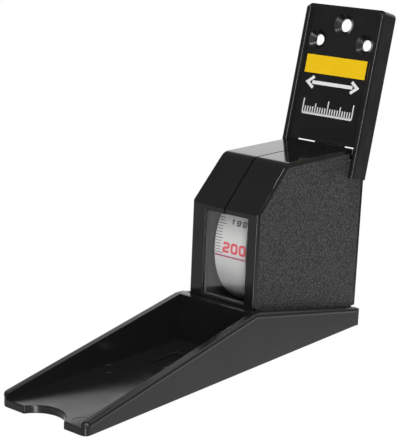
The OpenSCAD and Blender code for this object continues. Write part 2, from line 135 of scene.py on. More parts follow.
class StadiometerSizes(bpy.types.PropertyGroup):
    """Sizes of the dressed pieces"""

    edge: bpy.props.FloatProperty(
        name="Edge radius", description="Radius of the moulded edges",
        default=0.4 * MM, min=0.05 * MM, max=1 * MM, unit="LENGTH",
    )
    plate_edge: bpy.props.FloatProperty(
        name="Plate edge radius", description="Radius of the upper edges of the wall plate",
        default=0.2 * MM, min=0.05 * MM, max=0.25 * MM, unit="LENGTH",
    )
    shell_edge: bpy.props.FloatProperty(
        name="Shell edge radius",
        description="Radius of the edges between the housing's slope, top and sides",
        default=0.6 * MM, min=0.2 * MM, max=0.6 * MM, unit="LENGTH",
    )
    parting: bpy.props.FloatProperty(
        name="Parting groove",
        description="Width on each side of the groove where the halves of the housing meet",
        default=0.32 * MM, min=0.05 * MM, max=0.4 * MM, unit="LENGTH",
    )
    parting_depth: bpy.props.FloatProperty(
        name="Parting depth", description="Depth of the groove where the halves of the housing meet",
        default=1.0 * MM, min=0.4 * MM, max=1.2 * MM, unit="LENGTH",
    )
    top_turn: bpy.props.FloatProperty(
        name="Top turn radius", description="Radius of the turn between the sloping face and the top",
        default=5 * MM, min=1 * MM, max=6 * MM, unit="LENGTH",
    )
    panel_border: bpy.props.FloatProperty(
        name="Panel border", description="Width of the smooth border round the grained sides",
        default=1.0 * MM, min=0.3 * MM, max=2 * MM, unit="LENGTH",
    )
    panel_depth: bpy.props.FloatProperty(
        name="Panel depth", description="How deep the grained sides lie inside their border",
        default=0.12 * MM, min=0.02 * MM, max=0.3 * MM, unit="LENGTH",
    )
    grain: bpy.props.FloatProperty(
        name="Grain", description="Width of one pebble of the grained sides",
        default=1.0 * MM, min=0.3 * MM, max=2 * MM, unit="LENGTH",
    )
    relief: bpy.props.FloatProperty(
        name="Print relief", description="How far the print stands above the tape and the label",
        default=0.025 * MM, min=0.01 * MM, max=0.1 * MM, unit="LENGTH",
    )
    tick_length: bpy.props.FloatProperty(
        name="Tick length", description="Length of the millimetre ticks on the tape",
        default=2.3 * MM, min=1 * MM, max=4 * MM, unit="LENGTH",
    )
    tick_width: bpy.props.FloatProperty(
        name="Tick width", description="Width of the millimetre ticks",
        default=0.26 * MM, min=0.1 * MM, max=0.5 * MM, unit="LENGTH",
    )
    zero_line: bpy.props.FloatProperty(
        name="Red line", description="Height of the red line above the reel's axis, along the tape",
        default=-2.4 * MM, min=-10 * MM, max=10 * MM, unit="LENGTH",
    )
    red_height: bpy.props.FloatProperty(
        name="Red figures", description="Height of the red figures at the full height",
        default=3.7 * MM, min=2 * MM, max=5 * MM, unit="LENGTH",
    )
    black_height: bpy.props.FloatProperty(
        name="Black figures", description="Height of the black figures of each centimetre",
        default=2.1 * MM, min=1 * MM, max=4 * MM, unit="LENGTH",
    )
    bar_height: bpy.props.FloatProperty(
        name="Colour bar", description="Height of the label's colour bar",
        default=6.6 * MM, min=3 * MM, max=10 * MM, unit="LENGTH",
    )
    floor_drop: bpy.props.FloatProperty(
        name="Floor", description="Gap between the floor and the pulled-down housing",
        default=0.03, min=0.0, max=1.0, unit="LENGTH",
    )


class StadiometerColours(bpy.types.PropertyGroup):
    """Colours of the finishes"""

    shell: bpy.props.FloatVectorProperty(
        name="Shell", description="Black of the moulded shells", subtype="COLOR",
        size=3, default=(0.008, 0.008, 0.0085), min=0, max=1,
    )
    grained: bpy.props.FloatVectorProperty(
        name="Grained sides", description="Black of the grained sides", subtype="COLOR",
        size=3, default=(0.046, 0.046, 0.047), min=0, max=1,
    )
    enamel: bpy.props.FloatVectorProperty(
        name="Enamel", description="White of the tape", subtype="COLOR",
        size=3, default=(0.46, 0.46, 0.45), min=0, max=1,
    )
    red: bpy.props.FloatVectorProperty(
        name="Red print", description="Red of the line and figures", subtype="COLOR",
        size=3, default=(0.5, 0.014, 0.035), min=0, max=1,
    )
    line: bpy.props.FloatVectorProperty(
        name="Line print", description="Crimson of the line under the red figures", subtype="COLOR",
        size=3, default=(0.26, 0.012, 0.075), min=0, max=1,
    )
    black: bpy.props.FloatVectorProperty(
        name="Black print", description="Black of the ticks and figures", subtype="COLOR",
        size=3, default=(0.02, 0.02, 0.022), min=0, max=1,
    )
    tray: bpy.props.FloatVectorProperty(
        name="Tray", description="Black of the measuring tray", subtype="COLOR",
        size=3, default=(0.011, 0.011, 0.0115), min=0, max=1,
    )
    inner: bpy.props.FloatVectorProperty(
        name="Inner faces", description="Dull black of the housing's inner faces", subtype="COLOR",
        size=3, default=(0.06, 0.06, 0.061), min=0, max=1,
    )
    reel: bpy.props.FloatVectorProperty(
        name="Reel", description="Grey of the reel beside the wound tape", subtype="COLOR",
        size=3, default=(0.11, 0.11, 0.115), min=0, max=1,
    )
    bar: bpy.props.FloatVectorProperty(
        name="Colour bar", description="Yellow of the label's bar", subtype="COLOR",
        size=3, default=(0.92, 0.58, 0.001), min=0, max=1,
    )
    white: bpy.props.FloatVectorProperty(
        name="White print", description="White of the label's graphic", subtype="COLOR",
        size=3, default=(0.86, 0.86, 0.85), min=0, max=1,
    )
    film: bpy.props.FloatVectorProperty(
        name="Label film", description="Black of the label's film", subtype="COLOR",
        size=3, default=(0.006, 0.006, 0.006), min=0, max=1,
    )
    steel: bpy.props.FloatVectorProperty(
        name="Steel", description="Bright steel of the screws, the hook and the pins",
        subtype="COLOR", size=3, default=(0.62, 0.62, 0.64), min=0, max=1,
    )
    spring: bpy.props.FloatVectorProperty(
        name="Spring", description="Blued steel of the mainspring", subtype="COLOR",
        size=3, default=(0.16, 0.18, 0.23), min=0, max=1,
    )
    brass: bpy.props.FloatVectorProperty(
        name="Brass", description="Brass of the hook's rivets", subtype="COLOR",
        size=3, default=(0.78, 0.6, 0.3), min=0, max=1,
    )
    nylon: bpy.props.FloatVectorProperty(
        name="Nylon", description="Natural nylon of the thrust washers", subtype="COLOR",
        size=3, default=(0.78, 0.74, 0.62), min=0, max=1,
    )


class StadiometerView(bpy.types.PropertyGroup):
    """Where the camera stands, in the housing's own frame"""

    place: bpy.props.FloatVectorProperty(
        name="Place", description="Place of the camera", subtype="TRANSLATION",
        size=3, default=(0.276768, -0.422312, 0.161232), unit="LENGTH",
    )
    azimuth: bpy.props.FloatProperty(
        name="Azimuth", description="Turn of the camera to the left",
        subtype="ANGLE", default=math.radians(38.608),
    )
    elevation: bpy.props.FloatProperty(
        name="Elevation", description="Tilt of the camera downwards",
        subtype="ANGLE", default=math.radians(14.31),
    )
    roll: bpy.props.FloatProperty(
        name="Roll", description="Roll of the camera",
        subtype="ANGLE", default=math.radians(2.399),
    )
    focal: bpy.props.FloatProperty(
        name="Focal length", description="Focal length in pixels of a picture 448 high",
        default=1408.164, min=100, max=5000,
    )


# Shader groups

# Handling: which part of the noise is smudged or dusty, and how much finer than the
# smudges the dust and the relief are
SMUDGED = (0.38, 0.68)
DUSTY = (0.62, 0.8)
DUST_FINER = 45.0
RELIEF_FINER = 2.2
# Pebbled skin: how far the cells wander, how steep their edges are, and the shares of
# the cells and of finer grain in the height
WANDER = 0.9
VALLEY_WIDTH = 0.32
GRAIN_FINER = 1.6
CELL_SHARE = 0.7
GRAIN_SHARE = 0.5


def group_tree(name, inputs, outputs):
    """A new shader group with named sockets, and its input and output nodes."""
    tree = bpy.data.node_groups.new(name, "ShaderNodeTree")
    for label, kind, value in inputs:
        socket = tree.interface.new_socket(label, in_out="INPUT", socket_type=kind)
        if value is not None:
            socket.default_value = value
    for label, kind in outputs:
        tree.interface.new_socket(label, in_out="OUTPUT", socket_type=kind)
    return tree, tree.nodes.new("NodeGroupInput"), tree.nodes.new("NodeGroupOutput")


def maths(tree, operation, first, second=None):
    """A Math node; first and second are sockets or numbers."""
    node = tree.nodes.new("ShaderNodeMath")
    node.operation = operation
    for socket, value in zip(node.inputs, (first, second)):
        if isinstance(value, (int, float)):
            socket.default_value = value
        elif value is not None:
            tree.links.new(value, socket)
    return node.outputs[0]


def noise(tree, vector, scale, detail=3.0, roughness=0.5):
    """A Noise Texture's value; scale is a socket or a number."""
    node = tree.nodes.new("ShaderNodeTexNoise")
    node.inputs["Detail"].default_value = detail
    node.inputs["Roughness"].default_value = roughness
    tree.links.new(vector, node.inputs["Vector"])
    if isinstance(scale, (int, float)):
        node.inputs["Scale"].default_value = scale
    else:
        tree.links.new(scale, node.inputs["Scale"])
    return node.outputs["Fac"]


def ramped(tree, value, low, high, out_low=0.0, out_high=1.0):
    """A soft ramp of a socket's value from one range to another."""
    node = tree.nodes.new("ShaderNodeMapRange")
    node.interpolation_type = "SMOOTHSTEP"
    node.inputs["From Min"].default_value = low
    node.inputs["From Max"].default_value = high
    node.inputs["To Min"].default_value = out_low
    node.inputs["To Max"].default_value = out_high
    tree.links.new(value, node.inputs["Value"])
    return node.outputs["Result"]


def handling_group():
    """Smudges and fine dust of a part that has been handled."""
    name = "Handling"
    if name in bpy.data.node_groups:
        return bpy.data.node_groups[name]
    tree, source, sink = group_tree(
        name,
        [("Vector", "NodeSocketVector", None), ("Scale", "NodeSocketFloat", 60.0)],
        [("Smudge", "NodeSocketFloat"), ("Dust", "NodeSocketFloat"), ("Relief", "NodeSocketFloat")],
    )
    vector, scale = source.outputs["Vector"], source.outputs["Scale"]
    smudge = ramped(tree, noise(tree, vector, scale, 5.0, 0.6), *SMUDGED)
    fine = noise(tree, vector, maths(tree, "MULTIPLY", scale, DUST_FINER), 2.0)
    tree.links.new(smudge, sink.inputs["Smudge"])
    tree.links.new(ramped(tree, fine, *DUSTY), sink.inputs["Dust"])
    relief = noise(tree, vector, maths(tree, "MULTIPLY", scale, RELIEF_FINER), 1.0)
    tree.links.new(relief, sink.inputs["Relief"])
    return tree


def pebble_group():
    """Pebbled skin of grained plastic: raised cells with narrow valleys between them."""
    name = "Pebbled skin"
    if name in bpy.data.node_groups:
        return bpy.data.node_groups[name]
    tree, source, sink = group_tree(
        name,
        [("Vector", "NodeSocketVector", None), ("Scale", "NodeSocketFloat", 1200.0)],
        [("Height", "NodeSocketFloat"), ("Valley", "NodeSocketFloat")],
    )
    vector, scale = source.outputs["Vector"], source.outputs["Scale"]
    shift = tree.nodes.new("ShaderNodeTexNoise")
    shift.inputs["Detail"].default_value = 2.0
    tree.links.new(vector, shift.inputs["Vector"])
    tree.links.new(maths(tree, "MULTIPLY", scale, WANDER), shift.inputs["Scale"])
    nudge = tree.nodes.new("ShaderNodeVectorMath")
    nudge.operation = "SCALE"
    tree.links.new(shift.outputs["Color"], nudge.inputs[0])
    tree.links.new(maths(tree, "DIVIDE", WANDER, scale), nudge.inputs["Scale"])
    moved = tree.nodes.new("ShaderNodeVectorMath")
    tree.links.new(vector, moved.inputs[0])
    tree.links.new(nudge.outputs[0], moved.inputs[1])
    cells = tree.nodes.new("ShaderNodeTexVoronoi")
    cells.feature = "DISTANCE_TO_EDGE"
    tree.links.new(moved.outputs[0], cells.inputs["Vector"])
    tree.links.new(scale, cells.inputs["Scale"])
    hump = ramped(tree, cells.outputs["Distance"], 0.0, VALLEY_WIDTH)
    fine = noise(tree, vector, maths(tree, "MULTIPLY", scale, GRAIN_FINER), 3.0, 0.6)
    coarse_rise = maths(tree, "MULTIPLY", hump, CELL_SHARE)
    fine_rise = maths(tree, "MULTIPLY", fine, GRAIN_SHARE)
    tree.links.new(maths(tree, "ADD", coarse_rise, fine_rise), sink.inputs["Height"])
    tree.links.new(maths(tree, "SUBTRACT", 1.0, hump), sink.inputs["Valley"])
    return tree


# Materials

# Smudges to a metre on handled plastic and on the window pane
SMUDGES = 60.0
PANE_SMUDGES = 90.0
# Clear acrylic: its refraction, its tints and its roughness where it is clean and dusty
ACRYLIC = 1.49
PANE_TINTS = ((0.97, 0.98, 0.98), (0.94, 0.95, 0.95))
PANE_GLOSS = (0.01, 0.08)
# The wound tape's edge: rings to a metre, how uneven, deep and dark they are
RINGS = 1100.0
RING_WANDER = 0.4
RING_DEPTH = 0.05 * MM
RING_DARKER = 0.6
# Turning marks on bright metal: marks to a metre, and how far they stretch along X
TURNING_MARKS = 2600.0
MARK_STRETCH = (0.08, 1.0, 1.0)


def shell_of(name):
    """A new material with a Principled shader, its tree, shader and Object coordinates."""
    made = bpy.data.materials.new(name)
    made.use_nodes = True
    tree = made.node_tree
    tree.nodes.clear()
    output = tree.nodes.new("ShaderNodeOutputMaterial")
    shader = tree.nodes.new("ShaderNodeBsdfPrincipled")
    tree.links.new(shader.outputs["BSDF"], output.inputs["Surface"])
    place = tree.nodes.new("ShaderNodeTexCoord")
    return made, tree, shader, place.outputs["Object"]


def use_group(tree, group, vector, scale):
    """The outputs of a shader group used in a material."""
    node = tree.nodes.new("ShaderNodeGroup")
    node.node_tree = group
    tree.links.new(vector, node.inputs["Vector"])
    node.inputs["Scale"].default_value = scale
    return node.outputs


def blended(tree, amount, first, second):
    """Colour between first and second by amount, a socket."""
    node = tree.nodes.new("ShaderNodeMix")
    node.data_type = "RGBA"
    tree.links.new(amount, node.inputs["Factor"])
    node.inputs["A"].default_value = (*first, 1)
    node.inputs["B"].default_value = (*second, 1)
    return node.outputs["Result"]


def bumped(tree, shader, height, distance):
    """Bends a shader's normal by a height, a socket; distance is in metres."""
    node = tree.nodes.new("ShaderNodeBump")
    node.inputs["Distance"].default_value = distance
    tree.links.new(height, node.inputs["Height"])
    tree.links.new(node.outputs["Normal"], shader.inputs["Normal"])


def lighter(colour, share):
    """A colour made lighter by a share, or darker by a negative one."""
    return tuple(min(1.0, c * (1 + share)) for c in colour)


def handled(name, colour, roughness, spread, shade=0.25, wave=0.004 * MM):
    """A finish whose colour and gloss vary a little with handling."""
    made, tree, shader, place = shell_of(name)
    marks = use_group(tree, handling_group(), place, SMUDGES)
    tint = blended(tree, marks["Smudge"], colour, lighter(colour, shade))
    tree.links.new(tint, shader.inputs["Base Color"])
    gloss = ramped(tree, marks["Smudge"], 0.0, 1.0, roughness, roughness + spread)
    tree.links.new(gloss, shader.inputs["Roughness"])
    if wave:
        bumped(tree, shader, marks["Relief"], wave)
    return made


# Grained sides: a pebble's height as a share of its width, how much its top is painted lighter as a
# # highlight and its valleys painted darker as shade, and the roughness of its top and its valleys
GRAIN_RISE = 0.28
GRAIN_PAINTED_SHADING = 0.6
GRAIN_GLOSS = (0.34, 0.6)


def grained(name, colour, cell):
    """Matt black plastic with a pebbled skin, its tops painted lighter as a highlight and its valleys
    painted darker as shade.
    """
    made, tree, shader, place = shell_of(name)
    skin = use_group(tree, pebble_group(), place, 1 / cell)
    # Painted highlight on the pebble tops and painted shade in the valleys, blended by the valley mask
    top, painted_valley_shade = lighter(colour, GRAIN_PAINTED_SHADING), lighter(colour, -GRAIN_PAINTED_SHADING)
    tree.links.new(blended(tree, skin["Valley"], top, painted_valley_shade), shader.inputs["Base Color"])
    gloss = ramped(tree, skin["Valley"], 0.0, 1.0, *GRAIN_GLOSS)
    tree.links.new(gloss, shader.inputs["Roughness"])
    bumped(tree, shader, skin["Height"], cell * GRAIN_RISE)
    return made


def clear_plastic(name):
    """Clear moulded pane that lets the studio light through to the tape."""
    made, tree, shader, place = shell_of(name)
    marks = use_group(tree, handling_group(), place, PANE_SMUDGES)
    shader.inputs["Transmission Weight"].default_value = 1.0
    shader.inputs["IOR"].default_value = ACRYLIC
    tint = blended(tree, marks["Smudge"], *PANE_TINTS)
    tree.links.new(tint, shader.inputs["Base Color"])
    gloss = ramped(tree, marks["Dust"], 0.0, 1.0, *PANE_GLOSS)
    tree.links.new(gloss, shader.inputs["Roughness"])
    path = tree.nodes.new("ShaderNodeLightPath")
    see_through = tree.nodes.new("ShaderNodeBsdfTransparent")
    choice = tree.nodes.new("ShaderNodeMixShader")
    tree.links.new(path.outputs["Is Shadow Ray"], choice.inputs["Fac"])
    tree.links.new(shader.outputs["BSDF"], choice.inputs[1])
    tree.links.new(see_through.outputs["BSDF"], choice.inputs[2])
    output = next(n for n in tree.nodes if n.type == "OUTPUT_MATERIAL")
    tree.links.new(choice.outputs["Shader"], output.inputs["Surface"])
    return made


def wound_edge(name, colour):
    """Edge of the wound tape: fine rings about the reel's axis."""
    made, tree, shader, place = shell_of(name)
    centre = tree.nodes.new("ShaderNodeMapping")
    centre.vector_type = "POINT"
    axis = HUNG @ REEL
    centre.inputs["Location"].default_value = (0, -axis.y, -axis.z)
    centre.inputs["Scale"].default_value = (0, 1, 1)
    tree.links.new(place, centre.inputs["Vector"])
    rings = tree.nodes.new("ShaderNodeTexWave")
    rings.wave_type = "RINGS"
    rings.rings_direction = "SPHERICAL"
    rings.inputs["Scale"].default_value = RINGS
    rings.inputs["Distortion"].default_value = RING_WANDER
    tree.links.new(centre.outputs["Vector"], rings.inputs["Vector"])
    tint = blended(tree, rings.outputs["Fac"], lighter(colour, -RING_DARKER), colour)
    tree.links.new(tint, shader.inputs["Base Color"])
    shader.inputs["Roughness"].default_value = 0.4
    bumped(tree, shader, rings.outputs["Fac"], RING_DEPTH)
    return made


def brushed(name, colour, roughness):
    """Bright metal with fine turning marks along its length."""
    made, tree, shader, place = shell_of(name)
    stretch = tree.nodes.new("ShaderNodeMapping")
    stretch.inputs["Scale"].default_value = MARK_STRETCH
    tree.links.new(place, stretch.inputs["Vector"])
    marks = noise(tree, stretch.outputs["Vector"], TURNING_MARKS, 3.0)
    tree.links.new(blended(tree, marks, lighter(colour, -0.2), colour), shader.inputs["Base Color"])
    gloss = ramped(tree, marks, 0.2, 0.8, roughness, roughness + 0.15)
    tree.links.new(gloss, shader.inputs["Roughness"])
    shader.inputs["Metallic"].default_value = 1.0
    return made


def finish(name):
    """The material of that name, made at its first use: colour, roughness and its spread."""
    if name in bpy.data.materials:
        return bpy.data.materials[name]
    scene = bpy.context.scene
    tones, sizes = scene.stadiometer_colours, scene.stadiometer_sizes
    makers = {
        "Moulded gloss": lambda n: handled(n, tones.shell, 0.1, 0.08),
        "Plate gloss": lambda n: handled(n, tones.shell, 0.2, 0.1),
        "Inner faces": lambda n: handled(n, tones.inner, 0.55, 0.15),
        "Tray satin": lambda n: handled(n, tones.tray, 0.2, 0.06, shade=0.06, wave=0.001 * MM),
        "Grained sides": lambda n: grained(n, tones.grained, sizes.grain),
        "Reel plastic": lambda n: handled(n, tones.reel, 0.45, 0.15),
        "Tape enamel": lambda n: handled(n, tones.enamel, 0.34, 0.12, shade=0.05, wave=0),
        "Wound edge": lambda n: wound_edge(n, tones.enamel),
        "Red print": lambda n: handled(n, tones.red, 0.4, 0.1, shade=0.12, wave=0),
        "Line print": lambda n: handled(n, tones.line, 0.4, 0.1, shade=0.12, wave=0),
        "Black print": lambda n: handled(n, tones.black, 0.4, 0.1, wave=0),
        "Label film": lambda n: handled(n, tones.film, 0.24, 0.1),
        "Label bar": lambda n: handled(n, tones.bar, 0.35, 0.1, shade=0.06, wave=0),
        "Label white": lambda n: handled(n, tones.white, 0.35, 0.1, shade=0.04, wave=0),
        "Bright steel": lambda n: brushed(n, tones.steel, 0.22),
        "Blued spring": lambda n: brushed(n, tones.spring, 0.3),
        "Rivet brass": lambda n: brushed(n, tones.brass, 0.25),
        "Natural nylon": lambda n: handled(n, tones.nylon, 0.45, 0.1, shade=0.08),
        "Clear plastic": clear_plastic,
    }
    return makers[name](name)


# Making and placing pieces


def piece_of(name, mesh, body, materials, replaced=(), flat=False):
    """A finished piece that rides on a body, its place in its mesh."""
    if not mesh.polygons:
        raise RuntimeError(name + " has no faces")
    made = bpy.data.objects.new(name, mesh)
    bpy.context.scene.collection.objects.link(made)
    while len(mesh.materials) < len(materials):
        mesh.materials.append(None)
    for index, label in enumerate(materials):
        mesh.materials[index] = finish(label)
    if flat:
        weighted(made)
    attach(made, body)
    if replaced:
        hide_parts(*replaced)
    return made


def merged_copy(node):
    """A copy of a CAD node's mesh with its points merged and its flat faces joined."""
    shape = bmesh.new()
    shape.from_mesh(frame["nodes"][node].data)
    bmesh.ops.remove_doubles(shape, verts=shape.verts, dist=MERGE)
    bmesh.ops.dissolve_limit(
        shape, angle_limit=FLAT, verts=shape.verts, edges=shape.edges
    )
    return shape


def round_edges(shape, width, chosen):
    """Rounds the sharp convex edges that chosen() accepts."""
    picked = [
        e for e in shape.edges
        if len(e.link_faces) == 2 and e.is_convex
        and e.calc_face_angle() > SHARP
        and e.calc_length() > width
        and chosen(e)
    ]
    if picked:
        bmesh.ops.bevel(
            shape, geom=picked, offset=width, offset_type="OFFSET",
            segments=EDGE_STEPS, profile=0.5, affect="EDGES", clamp_overlap=False,
        )


def grooved(shape, width, depth, chosen):
    """Cuts a steep groove, as wide on this side as width, along the edges at X = 0."""
    picked = [e for e in shape.edges if len(e.link_faces) == 2 and e.is_convex and chosen(e)]
    made = bmesh.ops.bevel(
        shape, geom=picked, offset=width, offset_type="OFFSET", segments=1, affect="EDGES",
        clamp_overlap=False,
    )
    shape.normal_update()
    inward = {}
    for face in made["faces"]:
        face.material_index = 0
        way = Vector((0, face.normal.y, face.normal.z)).normalized()
        for vert in face.verts:
            if abs(vert.co.x) < TOUCH:
                inward[vert] = inward.get(vert, Vector()) - way
    for vert, way in inward.items():
        vert.co += way.normalized() * (depth - width)


def eased_turn(shape, corner, first, second, old, new):
    """Widens the turn between two outer faces across X from one radius to another."""
    lean = (first + second) / (1 + first.dot(second))
    small, large = corner - lean * old, corner - lean * new
    least = first.dot(lean.normalized()) - TURN_SLACK
    for vert in shape.verts:
        point = HOUSED @ vert.co
        flat = Vector((0, point.y, point.z))
        spoke = flat - small
        if abs(spoke.length - old) < TOUCH and spoke.normalized().dot(lean.normalized()) > least:
            flat = large + spoke.normalized() * new
        else:
            spoke = flat - large
            on_faces = max((flat - corner).dot(first), (flat - corner).dot(second)) > -TOUCH
            if on_faces and spoke.length > new and spoke.normalized().dot(lean.normalized()) > least:
                flat = large + spoke.normalized() * new
        vert.co = HUNG @ Vector((point.x, flat.y, flat.z))


def kept_in_corners(shape, half, front, radius):
    """Brings points that stand outside the housing's rounded front corners back to them."""
    for vert in shape.verts:
        point = HOUSED @ vert.co
        across, ahead = abs(point.x) - (half - radius), (front + radius) - point.y
        reach = math.hypot(across, ahead)
        if across > 0 and ahead > 0 and reach > radius:
            point.x = math.copysign(half - radius + across * radius / reach, point.x)
            point.y = front + radius - ahead * radius / reach
            vert.co = HUNG @ point


def shaded(shape, name):
    """Mesh of a shape, smooth over its rounded edges and sharp elsewhere."""
    for face in shape.faces:
        face.smooth = True
    for edge in shape.edges:
        edge.smooth = len(edge.link_faces) == 2 and edge.calc_face_angle() < SMOOTH
    mesh = bpy.data.meshes.new(name)
    shape.to_mesh(mesh)
    shape.free()
    return mesh


def weighted(piece):
    """Bends the shading at the rounded edges only, and keeps the flat faces flat."""
    modifier = piece.modifiers.new("Flat faces", "WEIGHTED_NORMAL")
    modifier.mode = "FACE_AREA"
    modifier.weight = 100
    modifier.keep_sharp = True
    graph = bpy.context.evaluated_depsgraph_get()
    mesh = bpy.data.meshes.new_from_object(piece.evaluated_get(graph))
    piece.modifiers.clear()
    piece.data = mesh


def middle(edge):
    """The point halfway along an edge."""
    return (edge.verts[0].co + edge.verts[1].co) / 2


# Corners of a box's faces, counted along Z first, then Y, then X
BOX_FACES = ((0, 1, 3, 2), (4, 6, 7, 5), (0, 4, 5, 1), (2, 3, 7, 6), (0, 2, 6, 4), (1, 5, 7, 3))


def box_into(shape, low, high):
    """Adds a box between two corners."""
    points = [
        shape.verts.new((x, y, z))
        for x in (low[0], high[0]) for y in (low[1], high[1]) for z in (low[2], high[2])
    ]
    for corners in BOX_FACES:
        shape.faces.new([points[i] for i in corners])


def ribbon(points, width, closed):
    """Left and right side points of a stroke of that width along a line, with mitres."""
    count = len(points)
    sides = []
    for i, point in enumerate(points):
        before = points[i - 1] if closed or i else point
        after = points[(i + 1) % count] if closed or i < count - 1 else point
        first = (point - before).normalized() if (point - before).length else None
        second = (after - point).normalized() if (after - point).length else None
        along = ((first or second) + (second or first)).normalized()
        normal = Vector((-along.y, along.x))
        other = first or second
        stretch = 1 / max(0.5, abs(normal.dot(Vector((-other.y, other.x)))))
        sides.append((point + normal * width / 2 * stretch, point - normal * width / 2 * stretch))
    return sides


def stroke_into(shape, points, width, closed, place, steps=1):
    """Adds a raised stroke: place(point, top) puts a flat point on the printed surface."""
    line = []
    count = len(points)
    for i in range(count if closed else count - 1):
        start, end = points[i], points[(i + 1) % count]
        line += [start.lerp(end, k / steps) for k in range(steps)]
    if not closed:
        line.append(points[-1])
    sides = ribbon(line, width, closed)
    rings = [
        [shape.verts.new(place(side, top)) for side, top in
         ((left, False), (left, True), (right, True), (right, False))]
        for left, right in sides
    ]
    pairs = list(zip(rings, rings[1:] + rings[:1] if closed else rings[1:]))
    for a, b in pairs:
        for k in range(4):
            shape.faces.new((a[k], b[k], b[(k + 1) % 4], a[(k + 1) % 4]))
    if not closed:
        shape.faces.new(rings[0])
        shape.faces.new(rings[-1][::-1])


# Strokes of the figures in a unit box. Each corner is cut by CUT; a last None closes a line
CUT = 0.16
FAR = 1 - CUT
FIGURES = {
    "0": [((0, CUT), (0, FAR), (CUT, 1), (FAR, 1), (1, FAR), (1, CUT), (FAR, 0), (CUT, 0), None)],
    "1": [((0.15, 0.78), (0.55, 1), (0.55, 0))],
    "2": [((0, FAR), (CUT, 1), (FAR, 1), (1, FAR), (1, 0.62), (FAR, 0.5),
           (CUT, 0.42), (0, 0.3), (0, 0), (1.05, 0))],
    "3": [((0, FAR), (CUT, 1), (FAR, 1), (1, FAR), (1, 0.64), (0.8, 0.52), (0.3, 0.52)),
          ((0.8, 0.52), (1, 0.4), (1, CUT), (FAR, 0), (CUT, 0), (0, CUT))],
    "4": [((1.05, 0.27), (0, 0.27), (0.7, 1), (0.72, 0))],
    "5": [((1, 1), (0, 1), (0, 0.56), (FAR, 0.56), (1, 0.42), (1, CUT), (FAR, 0), (CUT, 0),
           (0, CUT))],
    "6": [((1, FAR), (FAR, 1), (CUT, 1), (0, FAR), (0, CUT), (CUT, 0), (FAR, 0), (1, CUT),
           (1, 0.4), (FAR, 0.54), (0.05, 0.54))],
    "7": [((0, 1), (1, 1), (0.35, 0))],
    "8": [((CUT, 0.52), (0, 0.66), (0, FAR), (CUT, 1), (FAR, 1), (1, FAR), (1, 0.66),
           (FAR, 0.52), None),
          ((CUT, 0.52), (0, 0.38), (0, CUT), (CUT, 0), (FAR, 0), (1, CUT), (1, 0.38),
           (FAR, 0.52), None)],
    "9": [((0, CUT), (CUT, 0), (FAR, 0), (1, CUT), (1, FAR), (FAR, 1), (CUT, 1), (0, FAR),
           (0, 0.6), (CUT, 0.46), (0.95, 0.46))],
}


def figures_into(shape, text, corner, height, width, pitch, stroke, place):
    """Adds a number: corner is its lower left, in the flat print."""
    for i, figure in enumerate(text):
        start = corner + Vector((i * pitch, 0))
        for line in FIGURES[figure]:
            closed = line[-1] is None
            points = [
                start + Vector((stroke / 2 + x * (width - stroke), stroke / 2 + y * (height - stroke)))
                for x, y in (line[:-1] if closed else line)
            ]
            stroke_into(shape, points, stroke, closed, place, steps=2)


def finished_shape(shape, matrix=None):
    """Recalculated normals, and moved into the row frame."""
    bmesh.ops.recalc_face_normals(shape, faces=shape.faces)
    if matrix:
        bmesh.ops.transform(shape, matrix=matrix, verts=shape.verts)


# How far print reaches into the wound tape
COIL_SINK = 0.06 * MM


def on_coil(lift):
    """Puts a flat print point on the wound tape's front, in the housing's frame."""

    def place(point, top):
        radius = COIL_R + (lift if top else -COIL_SINK)
        turn = point.y / COIL_R
        return (point.x, REEL.y - radius * math.cos(turn), REEL.z + radius * math.sin(turn))
    return place


# Geometry Nodes trees


def geometry_tree(name, inputs):
    """A new Geometry Nodes tree with named inputs, its input sockets and its result."""
    tree = bpy.data.node_groups.new(name, "GeometryNodeTree")
    tree.interface.new_socket("Geometry", in_out="INPUT", socket_type="NodeSocketGeometry")
    for label, kind, value in inputs:
        socket = tree.interface.new_socket(label, in_out="INPUT", socket_type=kind)
        if value is not None:
            socket.default_value = value
    tree.interface.new_socket("Geometry", in_out="OUTPUT", socket_type="NodeSocketGeometry")
    return tree, tree.nodes.new("NodeGroupInput").outputs, tree.nodes.new("NodeGroupOutput").inputs


def linked(tree, kind, **wires):
    """A node of that kind with its named inputs linked or set."""
    node = tree.nodes.new(kind)
    for label, value in wires.items():
        socket = node.inputs[label.replace("_", " ")]
        if isinstance(value, bpy.types.NodeSocket):
            tree.links.new(value, socket)
        else:
            socket.default_value = value
    return node


